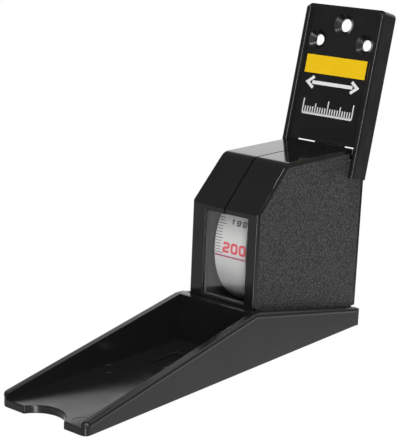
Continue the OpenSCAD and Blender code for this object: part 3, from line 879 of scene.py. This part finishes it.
def ticks_tree():
    """Ticks round the wound tape; each fifth and tenth one is longer."""
    tree, given, result = geometry_tree("Scale ticks", [
        ("Count", "NodeSocketInt", 80), ("Pitch", "NodeSocketFloat", 1 * MM),
        ("Start", "NodeSocketFloat", 0.0), ("Radius", "NodeSocketFloat", 22 * MM),
        ("Length", "NodeSocketFloat", 2 * MM), ("Width", "NodeSocketFloat", 0.2 * MM),
        ("Depth", "NodeSocketFloat", 0.1 * MM), ("Edge", "NodeSocketFloat", 0.0),
        ("Fifth", "NodeSocketFloat", 0.25), ("Tenth", "NodeSocketFloat", 0.45),
        ("Material", "NodeSocketMaterial", None),
    ])
    index = tree.nodes.new("GeometryNodeInputIndex").outputs[0]
    line = linked(tree, "GeometryNodeMeshLine", Count=given["Count"])
    along = maths(tree, "ADD", maths(tree, "MULTIPLY", index, given["Pitch"]), given["Start"])
    turn = maths(tree, "DIVIDE", along, given["Radius"])
    ahead = maths(tree, "MULTIPLY", maths(tree, "COSINE", turn), given["Radius"])
    place = linked(
        tree, "ShaderNodeCombineXYZ", X=given["Edge"], Y=maths(tree, "MULTIPLY", ahead, -1.0),
        Z=maths(tree, "MULTIPLY", maths(tree, "SINE", turn), given["Radius"]),
    )
    placed = linked(
        tree, "GeometryNodeSetPosition", Geometry=line.outputs["Mesh"], Position=place.outputs[0],
    )
    rest = maths(tree, "MODULO", index, 10.0)
    fifth = maths(tree, "MULTIPLY", maths(tree, "COMPARE", rest, 5.0), given["Fifth"])
    tenth = maths(tree, "MULTIPLY", maths(tree, "LESS_THAN", rest, 0.5), given["Tenth"])
    longer = maths(tree, "ADD", maths(tree, "ADD", 1.0, fifth), tenth)
    bar_size = linked(
        tree, "ShaderNodeCombineXYZ", X=given["Length"], Y=given["Depth"], Z=given["Width"],
    )
    bar = linked(tree, "GeometryNodeMeshCube", Size=bar_size.outputs[0])
    shift = linked(tree, "ShaderNodeCombineXYZ", X=maths(tree, "MULTIPLY", given["Length"], 0.5))
    from_edge = linked(
        tree, "GeometryNodeTransform", Geometry=bar.outputs["Mesh"], Translation=shift.outputs[0],
    )
    stretch = linked(tree, "ShaderNodeCombineXYZ", X=longer, Y=1.0, Z=1.0)
    spin = linked(tree, "ShaderNodeCombineXYZ", X=maths(tree, "MULTIPLY", turn, -1.0))
    set_out = linked(
        tree, "GeometryNodeInstanceOnPoints", Points=placed.outputs["Geometry"],
        Instance=from_edge.outputs["Geometry"], Rotation=spin.outputs[0], Scale=stretch.outputs[0],
    )
    return made_real(tree, set_out, given["Material"], result)


def made_real(tree, instances, material, result):
    """Ends a tree: instances made real and given their material."""
    real = linked(
        tree, "GeometryNodeRealizeInstances", Geometry=instances.outputs["Instances"],
    )
    dyed = linked(
        tree, "GeometryNodeSetMaterial", Geometry=real.outputs["Geometry"], Material=material,
    )
    tree.links.new(dyed.outputs["Geometry"], result["Geometry"])
    return tree


def screws_tree():
    """Cross-recessed pan head screws, one at each point, head at the origin and shank up."""
    tree, given, result = geometry_tree("Pan head screws", [
        ("Head Radius", "NodeSocketFloat", 2 * MM), ("Head Height", "NodeSocketFloat", 1.2 * MM),
        ("Shank Radius", "NodeSocketFloat", 1.1 * MM), ("Shank Length", "NodeSocketFloat", 7 * MM),
        ("Rim Share", "NodeSocketFloat", 0.65), ("Dome Share", "NodeSocketFloat", 0.36),
        ("Crown Share", "NodeSocketFloat", 0.72), ("Arm Length", "NodeSocketFloat", 1.15),
        ("Arm Width", "NodeSocketFloat", 0.24), ("Recess Depth", "NodeSocketFloat", 1.2),
        ("Turn", "NodeSocketVector", (0, 0, 0)), ("Material", "NodeSocketMaterial", None),
    ])

    def moved_up(geometry, height):
        rise = linked(tree, "ShaderNodeCombineXYZ", Z=height)
        moved = linked(
            tree, "GeometryNodeTransform", Geometry=geometry, Translation=rise.outputs[0],
        )
        return moved.outputs[0]

    radius, height, length = given["Head Radius"], given["Head Height"], given["Shank Length"]
    rim_height = maths(tree, "MULTIPLY", height, given["Rim Share"])
    rim = linked(
        tree, "GeometryNodeMeshCylinder", Vertices=32, Radius=radius, Depth=rim_height,
    )
    rim_middle = maths(tree, "SUBTRACT", height, maths(tree, "MULTIPLY", rim_height, 0.5))
    rim_at = moved_up(rim.outputs["Mesh"], rim_middle)
    dome = linked(
        tree, "GeometryNodeMeshCone", Vertices=32, Radius_Top=radius,
        Radius_Bottom=maths(tree, "MULTIPLY", radius, given["Crown Share"]),
        Depth=maths(tree, "MULTIPLY", height, given["Dome Share"]),
    )
    shank = linked(
        tree, "GeometryNodeMeshCylinder", Vertices=20, Radius=given["Shank Radius"],
        Depth=length,
    )
    # A little under half, so that the shank's end lies inside the head
    shank_middle = maths(tree, "ADD", height, maths(tree, "MULTIPLY", length, 0.499))
    shank_at = moved_up(shank.outputs["Mesh"], shank_middle)
    arm = maths(tree, "MULTIPLY", radius, given["Arm Length"])
    slot = maths(tree, "MULTIPLY", radius, given["Arm Width"])
    depth = maths(tree, "MULTIPLY", height, given["Recess Depth"])
    cut = tree.nodes.new("GeometryNodeMeshBoolean")
    cut.operation = "DIFFERENCE"
    head = tree.nodes.new("GeometryNodeMeshBoolean")
    head.operation = "UNION"
    for part in (rim_at, dome.outputs["Mesh"], shank_at):
        tree.links.new(part, head.inputs["Mesh 2"])
    tree.links.new(head.outputs["Mesh"], cut.inputs["Mesh 1"])
    for x, y in ((arm, slot), (slot, arm)):
        size = linked(tree, "ShaderNodeCombineXYZ", X=x, Y=y, Z=depth)
        bar = linked(tree, "GeometryNodeMeshCube", Size=size.outputs[0])
        tree.links.new(bar.outputs["Mesh"], cut.inputs["Mesh 2"])
    set_out = linked(
        tree, "GeometryNodeInstanceOnPoints", Points=given["Geometry"],
        Instance=cut.outputs["Mesh"], Rotation=given["Turn"],
    )
    return made_real(tree, set_out, given["Material"], result)


def grown(tree, values, points=((0, 0, 0),)):
    """The mesh that a Geometry Nodes tree makes of some points."""
    base = bpy.data.meshes.new(tree.name + " points")
    base.from_pydata([tuple(p) for p in points], [], [])
    holder = bpy.data.objects.new(tree.name + " maker", base)
    bpy.context.scene.collection.objects.link(holder)
    modifier = holder.modifiers.new(tree.name, "NODES")
    modifier.node_group = tree
    for item in tree.interface.items_tree:
        if item.item_type == "SOCKET" and item.in_out == "INPUT" and item.name in values:
            modifier[item.identifier] = values[item.name]
    graph = bpy.context.evaluated_depsgraph_get()
    mesh = bpy.data.meshes.new_from_object(holder.evaluated_get(graph))
    bpy.data.objects.remove(holder)
    return mesh


# Operators, one for each piece or group of like pieces


# Where the flank's wider rounding starts, and where the low turn is left as it is
FLANK_LOW = SLOPE_LOW + 2 * MM
LOW_TURN = (SLOPE_LOW - 1.5 * MM, SLOPE_LOW + MM)
CLEAR_OF_GROOVE = 0.5 * MM


class STADIOMETER_OT_housing(bpy.types.Operator):
    """Make both halves of the housing, with rounded edges and grained sides"""

    bl_idname = "stadiometer.housing"
    bl_label = "Housing halves"
    bl_options = {"REGISTER", "UNDO"}

    def execute(self, context):
        sizes = context.scene.stadiometer_sizes
        low, high = BODY
        slope_start = Vector((0, low.y, SLOPE_LOW))
        slope_end = Vector((0, low.y + SLOPE_RUN, high.z))
        run = slope_end - slope_start
        slope_normal = Vector((0, -run.z, run.y)).normalized()
        above = Vector((0, 0, 1))

        def outside(point, slack=TOUCH):
            point = HOUSED @ point
            return (
                abs(point.x) > high.x - slack or point.y < low.y + slack
                or point.y > high.y - slack or point.z > high.z - slack
                or (point - slope_start).dot(slope_normal) > -slack
            )

        def outer(edge):
            return outside(middle(edge)) and all(outside(v.co) for v in edge.verts)

        def parting(edge):
            return all(abs(v.co.x) < TOUCH and outside(v.co, SKIN) for v in edge.verts)

        def flank(edge):
            at_side = all(abs(v.co.x) > high.x - TOUCH for v in edge.verts)
            return outer(edge) and at_side and (HOUSED @ middle(edge)).z > FLANK_LOW

        def rim(edge):
            point = HOUSED @ middle(edge)
            at_front = point.y < low.y + CAD_TURN
            in_turn = at_front and LOW_TURN[0] < point.z < LOW_TURN[1]
            return outer(edge) and abs(point.x) > CLEAR_OF_GROOVE and not in_turn

        for node in ("housing_left", "housing_right"):
            shape = merged_copy(node)
            for face in shape.faces:
                face.material_index = 0 if outside(face.calc_center_median(), SKIN) else 2
            eased_turn(shape, slope_end, slope_normal, above, CAD_TURN, sizes.top_turn)
            grooved(shape, sizes.parting, sizes.parting_depth, parting)
            round_edges(shape, sizes.shell_edge, flank)
            round_edges(shape, sizes.edge, rim)
            kept_in_corners(shape, high.x, low.y, CAD_TURN)
            self.panel(shape, sizes, high.x)
            mesh = shaded(shape, node + "_shell")
            piece_of(
                node + "_shell", mesh, "housing",
                ["Moulded gloss", "Grained sides", "Inner faces"],
                [node], flat=True,
            )
        return {"FINISHED"}

    def panel(self, shape, sizes, half):
        """Lets the grained skin of the side in, and leaves a smooth border round it."""

        def on_side():
            shape.normal_update()
            return [
                face for face in shape.faces
                if abs(face.normal.x) > SIDEWAYS
                and abs(face.calc_center_median().x) > half - TOUCH
            ]

        region = set(on_side())
        between = [
            e for e in shape.edges
            if len(e.link_faces) == 2 and region.issuperset(e.link_faces)
        ]
        # A dict keeps its order, so that the panel comes out the same each time
        points = list(dict.fromkeys(v for e in between for v in e.verts))
        bmesh.ops.dissolve_limit(shape, angle_limit=FLAT, edges=between, verts=points)
        side = on_side()
        bmesh.ops.inset_region(
            shape, faces=side, thickness=sizes.panel_border, depth=-sizes.panel_depth,
            use_boundary=True, use_even_offset=True,
        )
        for face in side:
            face.material_index = 1


# Only the tray's lower edges are rounded, and none shorter than this
TRAY_EDGE_TOP = 3 * MM
TRAY_EDGE_LEAST = 0.5 * MM
TRAY_FLOOR = 2.6 * MM
# Ejector marks on the tray's floor: place across, place along and radius
MOULD_MARKS = (
    (-11.9 * MM, -104.7 * MM, 3.7 * MM),
    (12.4 * MM, -142.6 * MM, 3.0 * MM),
)
MARK_WIDTH = 0.3 * MM
MARK_RISE = 0.08 * MM
MARK_STEPS = 40


class STADIOMETER_OT_tray(bpy.types.Operator):
    """Make the measuring tray, with rounded edges and moulding marks on its floor"""

    bl_idname = "stadiometer.tray"
    bl_label = "Measuring tray"
    bl_options = {"REGISTER", "UNDO"}

    def execute(self, context):
        sizes = context.scene.stadiometer_sizes
        shape = merged_copy("head_tray")
        underside = TRAY[0].z

        def outer(edge):
            low_enough = (HOUSED @ middle(edge)).z < underside + TRAY_EDGE_TOP
            return low_enough and edge.calc_length() > TRAY_EDGE_LEAST

        round_edges(shape, sizes.edge, outer)
        piece_of(
            "tray_shell", shaded(shape, "tray_shell"), "housing", ["Tray satin"],
            ["head_tray"], flat=True,
        )
        marks = bmesh.new()
        for x, y, radius in MOULD_MARKS:
            self.ring(marks, Vector((x, y, TRAY_FLOOR)), radius)
        finished_shape(marks, HUNG)
        piece_of(
            "tray_marks", shaded(marks, "tray_marks"), "housing", ["Tray satin"],
        )
        return {"FINISHED"}

    def ring(self, shape, centre, radius):
        """A low raised ring on the floor."""
        rings = []
        for i in range(MARK_STEPS):
            turn = 2 * math.pi * i / MARK_STEPS
            way = Vector((math.cos(turn), math.sin(turn), 0))
            rings.append([
                shape.verts.new(
                    centre + way * (radius + across * MARK_WIDTH) + Vector((0, 0, up * MARK_RISE))
                )
                for across, up in ((-0.5, -1), (-0.3, 1), (0.3, 1), (0.5, -1))
            ])
        for a, b in zip(rings, rings[1:] + rings[:1]):
            for k in range(4):
                shape.faces.new((a[k], b[k], b[(k + 1) % 4], a[(k + 1) % 4]))


class STADIOMETER_OT_plate(bpy.types.Operator):
    """Make the wall plate with rounded edges"""

    bl_idname = "stadiometer.plate"
    bl_label = "Wall plate"
    bl_options = {"REGISTER", "UNDO"}

    def execute(self, context):
        sizes = context.scene.stadiometer_sizes
        shape = merged_copy("wall_plate")
        plate_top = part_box("wall_plate")[1].z

        def top(edge):
            return middle(edge).z > plate_top - TOUCH and edge.calc_length() > CAD_TURN

        round_edges(shape, sizes.plate_edge, top)
        piece_of(
            "plate_shell", shaded(shape, "plate_shell"), "plate", ["Plate gloss"],
            ["wall_plate"], flat=True,
        )
        return {"FINISHED"}


# The label: how far print reaches into the film, and the gap above the bar
PRINT_SINK = 0.05 * MM
BAR_GAP = 0.2 * MM
# The arrow: half its length, its place under the bar, its shaft and its wings
GRAPHIC_HALF = 10.6 * MM
ARROW_DROP = 3.3 * MM
SHAFT_SHORT = 2 * MM
SHAFT_STROKE = 1.3 * MM
WING_BACK = 2.6 * MM
WING_RISE = 2.0 * MM
WING_STROKE = 1.1 * MM
# The rule: its place under the arrow, its stroke, and the marks of each half
RULE_DROP = 11.2 * MM
RULE_STROKE = 0.8 * MM
RULE_MARKS = 10
MARK_STROKE = 0.42 * MM
MARK_LENGTHS = (5.2 * MM, 3.8 * MM, 2.5 * MM)


class STADIOMETER_OT_label(bpy.types.Operator):
    """Make the label: film, colour bar and a plain graphic of an arrow over a rule"""

    bl_idname = "stadiometer.label"
    bl_label = "Label"
    bl_options = {"REGISTER", "UNDO"}

    def execute(self, context):
        sizes = context.scene.stadiometer_sizes
        dress("plate_label", "Label film")
        low, high = LABEL
        bar_top = high.z - BAR_GAP
        bar_low = bar_top - sizes.bar_height
        front, back = low.y - sizes.relief, low.y + PRINT_SINK
        bar = bmesh.new()
        box_into(bar, (low.x, front, bar_low), (high.x, back, bar_top))
        finished_shape(bar)
        piece_of("label_bar", shaded(bar, "label_bar"), "plate", ["Label bar"])

        graphic = bmesh.new()

        def stroke(width, *points):
            line = [Vector(point) for point in points]
            stroke_into(
                graphic, line, width, False,
                lambda point, top: (point.x, front if top else back, point.y),
            )

        half = GRAPHIC_HALF
        arrow = bar_low - ARROW_DROP
        shaft = half - SHAFT_SHORT
        stroke(SHAFT_STROKE, (-shaft, arrow), (shaft, arrow))
        for way in (-1, 1):
            wing = way * (half - WING_BACK)
            stroke(
                WING_STROKE, (wing, arrow + WING_RISE), (way * half, arrow),
                (wing, arrow - WING_RISE),
            )
        rule = arrow - RULE_DROP
        stroke(RULE_STROKE, (-half, rule), (half, rule))
        for i in range(2 * RULE_MARKS + 1):
            x = -half + half * i / RULE_MARKS
            rank = 0 if i % 10 == 0 else 1 if i % 5 == 0 else 2
            stroke(MARK_STROKE, (x, rule), (x, rule + MARK_LENGTHS[rank]))
        finished_shape(graphic)
        piece_of(
            "label_graphic", shaded(graphic, "label_graphic"), "plate", ["Label white"],
        )
        return {"FINISHED"}


# The tape's print: figures' width, pitch and stroke, and the line's stroke
RED_FIGURES = (2.9 * MM, 3.4 * MM, 0.85 * MM)
BLACK_FIGURES = (1.9 * MM, 2.4 * MM, 0.56 * MM)
LINE_STROKE = 0.6 * MM
# Places of the figures' lower left corners, across the tape and above the line
RED_CORNER = Vector((-2.3, 1.3)) * MM
BLACK_CORNER = Vector((-0.7, 0.9)) * MM
# The number at the line, in centimetres, and how many centimetres are printed above it
LINE_NUMBER = 200
PRINTED = 7
CENTIMETRE = 10 * MM
TICKS = 80
EDGE_GAP = 0.1 * MM
TICK_SINK = 0.03 * MM


class STADIOMETER_OT_tape_print(bpy.types.Operator):
    """Print the wound tape: millimetre ticks, centimetre figures and the red line"""

    bl_idname = "stadiometer.tape_print"
    bl_label = "Tape print"
    bl_options = {"REGISTER", "UNDO"}

    def execute(self, context):
        sizes = context.scene.stadiometer_sizes
        left, right = COIL[0].x + EDGE_GAP, COIL[1].x - EDGE_GAP
        mesh = grown(ticks_tree(), {
            "Count": TICKS, "Pitch": 1 * MM, "Start": sizes.zero_line + 1 * MM,
            "Radius": COIL_R - TICK_SINK, "Length": sizes.tick_length,
            "Width": sizes.tick_width, "Depth": 2 * (TICK_SINK + sizes.relief),
            "Edge": left, "Material": finish("Black print"),
        })
        mesh.transform(HUNG @ Matrix.Translation((0, REEL.y, REEL.z)))
        piece_of("tape_ticks", mesh, "reel", ["Black print"])

        place = on_coil(sizes.relief)
        line = bmesh.new()
        ends = [Vector((left, sizes.zero_line)), Vector((right, sizes.zero_line))]
        stroke_into(line, ends, LINE_STROKE, False, place)
        self.printed(line, "tape_line", "Line print")

        base = Vector((0, sizes.zero_line))
        red = bmesh.new()
        figures_into(
            red, str(LINE_NUMBER), base + RED_CORNER, sizes.red_height, *RED_FIGURES, place,
        )
        self.printed(red, "tape_red_print", "Red print")
        black = bmesh.new()
        for step in range(1, PRINTED + 1):
            corner = base + BLACK_CORNER + Vector((0, step * CENTIMETRE))
            text = str(LINE_NUMBER - step)
            figures_into(black, text, corner, sizes.black_height, *BLACK_FIGURES, place)
        self.printed(black, "tape_figures", "Black print")
        return {"FINISHED"}

    def printed(self, shape, name, colour):
        """Finishes a print that was drawn on the wound tape."""
        finished_shape(shape, HUNG)
        piece_of(name, shaded(shape, name), "reel", [colour])


class STADIOMETER_OT_tape_strip(bpy.types.Operator):
    """Make the free end of the tape, which lengthens as the housing is pulled down"""

    bl_idname = "stadiometer.tape_strip"
    bl_label = "Tape strip"
    bl_options = {"REGISTER", "UNDO"}

    def execute(self, context):
        shape = merged_copy("tape_tail")
        made = bpy.data.objects.new("tape_strip", shaded(shape, "tape_strip"))
        context.scene.collection.objects.link(made)
        made.data.materials.append(finish("Tape enamel"))
        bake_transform(made)
        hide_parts("tape_tail")
        return {"FINISHED"}


class STADIOMETER_OT_screws(bpy.types.Operator):
    """Make the cross-recessed screws in the housing's side and under the tray"""

    bl_idname = "stadiometer.screws"
    bl_label = "Screws"
    bl_options = {"REGISTER", "UNDO"}

    def execute(self, context):
        tree = screws_tree()
        sideways = (0, math.pi / 2, 0)
        self.set_of(tree, "housing_screws", sideways)
        self.set_of(tree, "arbor_screw", sideways)
        self.set_of(tree, "tray_screws", (0, 0, 0))
        return {"FINISHED"}

    def set_of(self, tree, node, turn):
        """Puts a screw where each loose solid of the node is."""
        along = 0 if turn[1] else 2
        spots, head_r, head_h, shank_r, length = screw_solids(node, along)
        mesh = grown(tree, {
            "Head Radius": head_r, "Head Height": head_h, "Shank Radius": shank_r,
            "Shank Length": length - head_h, "Turn": turn, "Material": finish("Bright steel"),
        }, spots)
        mesh.transform(HUNG)
        shape = bmesh.new()
        shape.from_mesh(mesh)
        name = node + "_cross"
        piece_of(name, shaded(shape, name), "housing", ["Bright steel"], [node])


def screw_solids(node, along):
    """Head centres and sizes of a node's screws, in the housing's frame."""
    shape = bmesh.new()
    shape.from_mesh(frame["nodes"][node].data)
    bmesh.ops.remove_doubles(shape, verts=shape.verts, dist=MERGE)
    seen = set()
    spots = []
    across = [i for i in range(3) if i != along]
    for start in shape.verts:
        if start in seen:
            continue
        seen.add(start)
        solid, grow = [], [start]
        while grow:
            vert = grow.pop()
            solid.append(vert)
            fresh = [e.other_vert(vert) for e in vert.link_edges]
            fresh = [v for v in fresh if v not in seen]
            seen.update(fresh)
            grow += fresh
        points = [HOUSED @ v.co for v in solid]
        low, high = box_of(points)
        centre = (low + high) / 2
        centre[along] = low[along]
        spots.append(centre)
        far = [math.hypot(*(p[i] - centre[i] for i in across)) for p in points]
        head_r = max(far)
        shank_r = min(far)
        head_h = max(p[along] for p, f in zip(points, far) if f > head_r - TOUCH) - low[along]
        length = high[along] - low[along]
    shape.free()
    return spots, head_r, head_h, shank_r, length


def dress(node, *names):
    """Gives a CAD node its materials; the second one is for its flat ends across X."""
    made = frame["nodes"][node]
    made.data.materials.clear()
    for name in names:
        made.data.materials.append(finish(name))
    for face in made.data.polygons:
        at_end = len(names) > 1 and abs(face.normal.x) > SIDEWAYS
        face.material_index = 1 if at_end else 0


class STADIOMETER_OT_mechanism(bpy.types.Operator):
    """Give the reel, the spring, the pins and the window pane their finishes"""

    bl_idname = "stadiometer.mechanism"
    bl_label = "Mechanism"
    bl_options = {"REGISTER", "UNDO"}

    def execute(self, context):
        dress("tape_coil", "Tape enamel", "Wound edge")
        dress("tape_run", "Tape enamel")
        for node in ("tape_reel", "reel_cover"):
            dress(node, "Reel plastic")
        for node in ("hook_pin", "tape_hook", "arbor", "guide_pin"):
            dress(node, "Bright steel")
        dress("mainspring", "Blued spring")
        dress("hook_rivets", "Rivet brass")
        dress("thrust_washers", "Natural nylon")
        dress("window_pane", "Clear plastic")
        return {"FINISHED"}


# Name, direction in the housing's frame, distance, width, height and radiance
SOFTBOXES = (
    ("Tall softbox", (0.66, -0.72, 0.1), 0.9, 0.13, 1.3, 9.0),
    ("Rear softbox", (-0.6, 0.74, 0.32), 1.2, 0.9, 0.5, 0.3),
    ("Top softbox", (0.31, -0.36, 0.88), 1.1, 0.25, 0.3, 26.0),
)
# The point in the housing's frame that the lamps are aimed at
LIT_POINT = Vector((0, -50, 50)) * MM
# The world's brightness in reflections: in front, over a table behind, below and overhead,
# and how much the right side is dimmed
FRONT_GLOW = 0.2
TABLE_GLOW = 0.75
BELOW_GLOW = 0.55
RIGHT_SHADE = 0.9
OVERHEAD_GLOW = 0.15
# Where each of those starts and ends, as parts of a unit direction
BEHIND_Y = (-0.15, 0.4)
ASIDE_X = (0.05, 0.45)
BELOW_Z = (-0.4, -0.05)
OVERHEAD_Z = (0.48, 0.72)
TABLE_Z = (-0.16, -0.02)
# The camera: the picture's height in pixels and how near and far it sees, in metres
PICTURE_HEIGHT = 448
NEAREST = 0.01
FARTHEST = 50
# The floor: radius, colour, where it fades into white and how far, room under the housing
FLOOR_RADIUS = 3.0
PAPER = (0.9, 0.9, 0.9, 1)
FLOOR_FADE = (0.8, 2.4)
FLOOR_WHITE = (0.7, 1.0)
FLOOR_ROOM = 0.02


class STADIOMETER_OT_stage(bpy.types.Operator):
    """Set up the floor, the studio light and the camera"""

    bl_idname = "stadiometer.stage"
    bl_label = "Stage"
    bl_options = {"REGISTER", "UNDO"}

    def execute(self, context):
        sizes = context.scene.stadiometer_sizes
        self.camera(context.scene.stadiometer_view)
        self.world()
        self.floor(sizes)
        turn = HUNG.to_3x3()
        centre = HUNG @ LIT_POINT
        for name, way, away, wide, high, radiance in SOFTBOXES:
            self.softbox(name, centre, turn @ Vector(way).normalized(), away, wide, high, radiance)
        context.scene.view_settings.view_transform = "Standard"
        return {"FINISHED"}

    def camera(self, view):
        """The camera at the photograph's place, looking at the hung housing."""
        a, e, r = view.azimuth, view.elevation, view.roll
        ahead = Vector((-math.sin(a) * math.cos(e), math.cos(a) * math.cos(e), -math.sin(e)))
        level = Vector((math.cos(a), math.sin(a), 0))
        above = level.cross(ahead)
        right = level * math.cos(r) + above * math.sin(r)
        up = above * math.cos(r) - level * math.sin(r)
        turn = Matrix((right, up, -ahead)).transposed()
        data = bpy.data.cameras.new("Camera")
        data.sensor_fit = "AUTO"
        data.sensor_width = 36
        data.lens = view.focal * data.sensor_width / PICTURE_HEIGHT
        data.clip_start = NEAREST
        data.clip_end = FARTHEST
        camera = bpy.data.objects.new("Camera", data)
        bpy.context.scene.collection.objects.link(camera)
        camera.matrix_world = HUNG @ Matrix.Translation(view.place) @ turn.to_4x4()
        bpy.context.scene.camera = camera

    def world(self):
        """White where the camera and clear things look; dimmer in front and above."""
        world = bpy.data.worlds.new("Studio")
        bpy.context.scene.world = world
        world.use_nodes = True
        tree = world.node_tree
        tree.nodes.clear()
        place = tree.nodes.new("ShaderNodeTexCoord")
        parts = tree.nodes.new("ShaderNodeSeparateXYZ")
        tree.links.new(place.outputs["Generated"], parts.inputs[0])
        behind = ramped(tree, parts.outputs["Y"], *BEHIND_Y)
        aside = ramped(tree, parts.outputs["X"], *ASIDE_X, 1.0, 1.0 - RIGHT_SHADE)
        below = ramped(tree, parts.outputs["Z"], *BELOW_Z, BELOW_GLOW, 0.0)
        overhead = ramped(tree, parts.outputs["Z"], *OVERHEAD_Z, 1.0, OVERHEAD_GLOW)
        back = maths(tree, "MULTIPLY", maths(tree, "MULTIPLY", behind, aside), overhead)
        table = ramped(tree, parts.outputs["Z"], *TABLE_Z, TABLE_GLOW, 0.0)
        below = maths(tree, "MAXIMUM", below, maths(tree, "MULTIPLY", behind, table))
        fields = maths(tree, "MAXIMUM", maths(tree, "MAXIMUM", back, below), FRONT_GLOW)
        path = tree.nodes.new("ShaderNodeLightPath")
        seen = maths(
            tree, "MAXIMUM", path.outputs["Is Camera Ray"], path.outputs["Is Transmission Ray"],
        )
        strength = maths(tree, "MAXIMUM", fields, seen)
        light = tree.nodes.new("ShaderNodeBackground")
        light.inputs["Color"].default_value = (1, 1, 1, 1)
        tree.links.new(strength, light.inputs["Strength"])
        output = tree.nodes.new("ShaderNodeOutputWorld")
        tree.links.new(light.outputs[0], output.inputs["Surface"])

    def floor(self, sizes):
        """A pale floor under the place where the housing is when it is pulled right down."""
        low = cad_box[0].z + PULL.z * TRAVEL - sizes.floor_drop - FLOOR_ROOM
        shape = bmesh.new()
        bmesh.ops.create_circle(shape, cap_ends=True, segments=96, radius=FLOOR_RADIUS)
        bmesh.ops.translate(shape, verts=shape.verts, vec=(0, 0, low))
        mesh = bpy.data.meshes.new("Floor")
        shape.to_mesh(mesh)
        shape.free()
        made = bpy.data.objects.new("Floor", mesh)
        bpy.context.scene.collection.objects.link(made)
        mesh.materials.append(self.paper())

    def paper(self):
        """Pale paper that fades into the white background where the camera sees its edge."""
        paper = bpy.data.materials.new("Pale paper")
        paper.use_nodes = True
        tree = paper.node_tree
        tree.nodes.clear()
        place = tree.nodes.new("ShaderNodeTexCoord")
        flat = tree.nodes.new("ShaderNodeVectorMath")
        flat.operation = "MULTIPLY"
        flat.inputs[1].default_value = (1, 1, 0)
        tree.links.new(place.outputs["Object"], flat.inputs[0])
        reach = tree.nodes.new("ShaderNodeVectorMath")
        reach.operation = "LENGTH"
        tree.links.new(flat.outputs[0], reach.inputs[0])
        rim = ramped(tree, reach.outputs["Value"], *FLOOR_FADE, *FLOOR_WHITE)
        path = tree.nodes.new("ShaderNodeLightPath")
        share = maths(tree, "MULTIPLY", path.outputs["Is Camera Ray"], rim)
        diffuse = tree.nodes.new("ShaderNodeBsdfDiffuse")
        diffuse.inputs["Color"].default_value = PAPER
        glow = tree.nodes.new("ShaderNodeEmission")
        mix = tree.nodes.new("ShaderNodeMixShader")
        output = tree.nodes.new("ShaderNodeOutputMaterial")
        tree.links.new(share, mix.inputs["Fac"])
        tree.links.new(diffuse.outputs[0], mix.inputs[1])
        tree.links.new(glow.outputs[0], mix.inputs[2])
        tree.links.new(mix.outputs[0], output.inputs["Surface"])
        return paper

    def softbox(self, name, centre, way, away, wide, high, radiance):
        """An area lamp that faces the centre from a direction."""
        data = bpy.data.lights.new(name, "AREA")
        data.shape = "RECTANGLE"
        data.size, data.size_y = wide, high
        data.energy = radiance * math.pi * wide * high
        lamp = bpy.data.objects.new(name, data)
        bpy.context.scene.collection.objects.link(lamp)
        lamp.location = centre + way * away
        lamp.rotation_euler = way.to_track_quat("Z", "Y").to_euler()
        lamp.visible_camera = False


PIECES = (
    STADIOMETER_OT_housing,
    STADIOMETER_OT_tray,
    STADIOMETER_OT_plate,
    STADIOMETER_OT_label,
    STADIOMETER_OT_tape_print,
    STADIOMETER_OT_tape_strip,
    STADIOMETER_OT_screws,
    STADIOMETER_OT_mechanism,
    STADIOMETER_OT_stage,
)


class STADIOMETER_PT_panel(bpy.types.Panel):
    """Lists the stadiometer's pieces in the sidebar"""

    bl_idname = "STADIOMETER_PT_panel"
    bl_label = "Wall stadiometer"
    bl_space_type = "VIEW_3D"
    bl_region_type = "UI"
    bl_category = "Stadiometer"

    def draw(self, context):
        for group in ("stadiometer_sizes", "stadiometer_colours", "stadiometer_view"):
            values = getattr(context.scene, group)
            box = self.layout.box()
            for name in values.__annotations__:
                box.prop(values, name)
        for piece in PIECES:
            self.layout.operator(piece.bl_idname)


CLASSES = (StadiometerSizes, StadiometerColours, StadiometerView, *PIECES, STADIOMETER_PT_panel)


def register():
    """Adds the classes and their values to Blender."""
    for made in CLASSES:
        bpy.utils.register_class(made)
    scene = bpy.types.Scene
    scene.stadiometer_sizes = bpy.props.PointerProperty(type=StadiometerSizes)
    scene.stadiometer_colours = bpy.props.PointerProperty(type=StadiometerColours)
    scene.stadiometer_view = bpy.props.PointerProperty(type=StadiometerView)


def unregister():
    """Takes the values and the classes out again."""
    for name in ("stadiometer_view", "stadiometer_colours", "stadiometer_sizes"):
        delattr(bpy.types.Scene, name)
    for made in reversed(CLASSES):
        bpy.utils.unregister_class(made)


def main():
    """Makes every piece in order."""
    register()
    bpy.ops.stadiometer.housing()
    bpy.ops.stadiometer.tray()
    bpy.ops.stadiometer.plate()
    bpy.ops.stadiometer.label()
    bpy.ops.stadiometer.tape_print()
    bpy.ops.stadiometer.tape_strip()
    bpy.ops.stadiometer.screws()
    bpy.ops.stadiometer.mechanism()
    bpy.ops.stadiometer.stage()


if __name__ == "__main__":
    main()
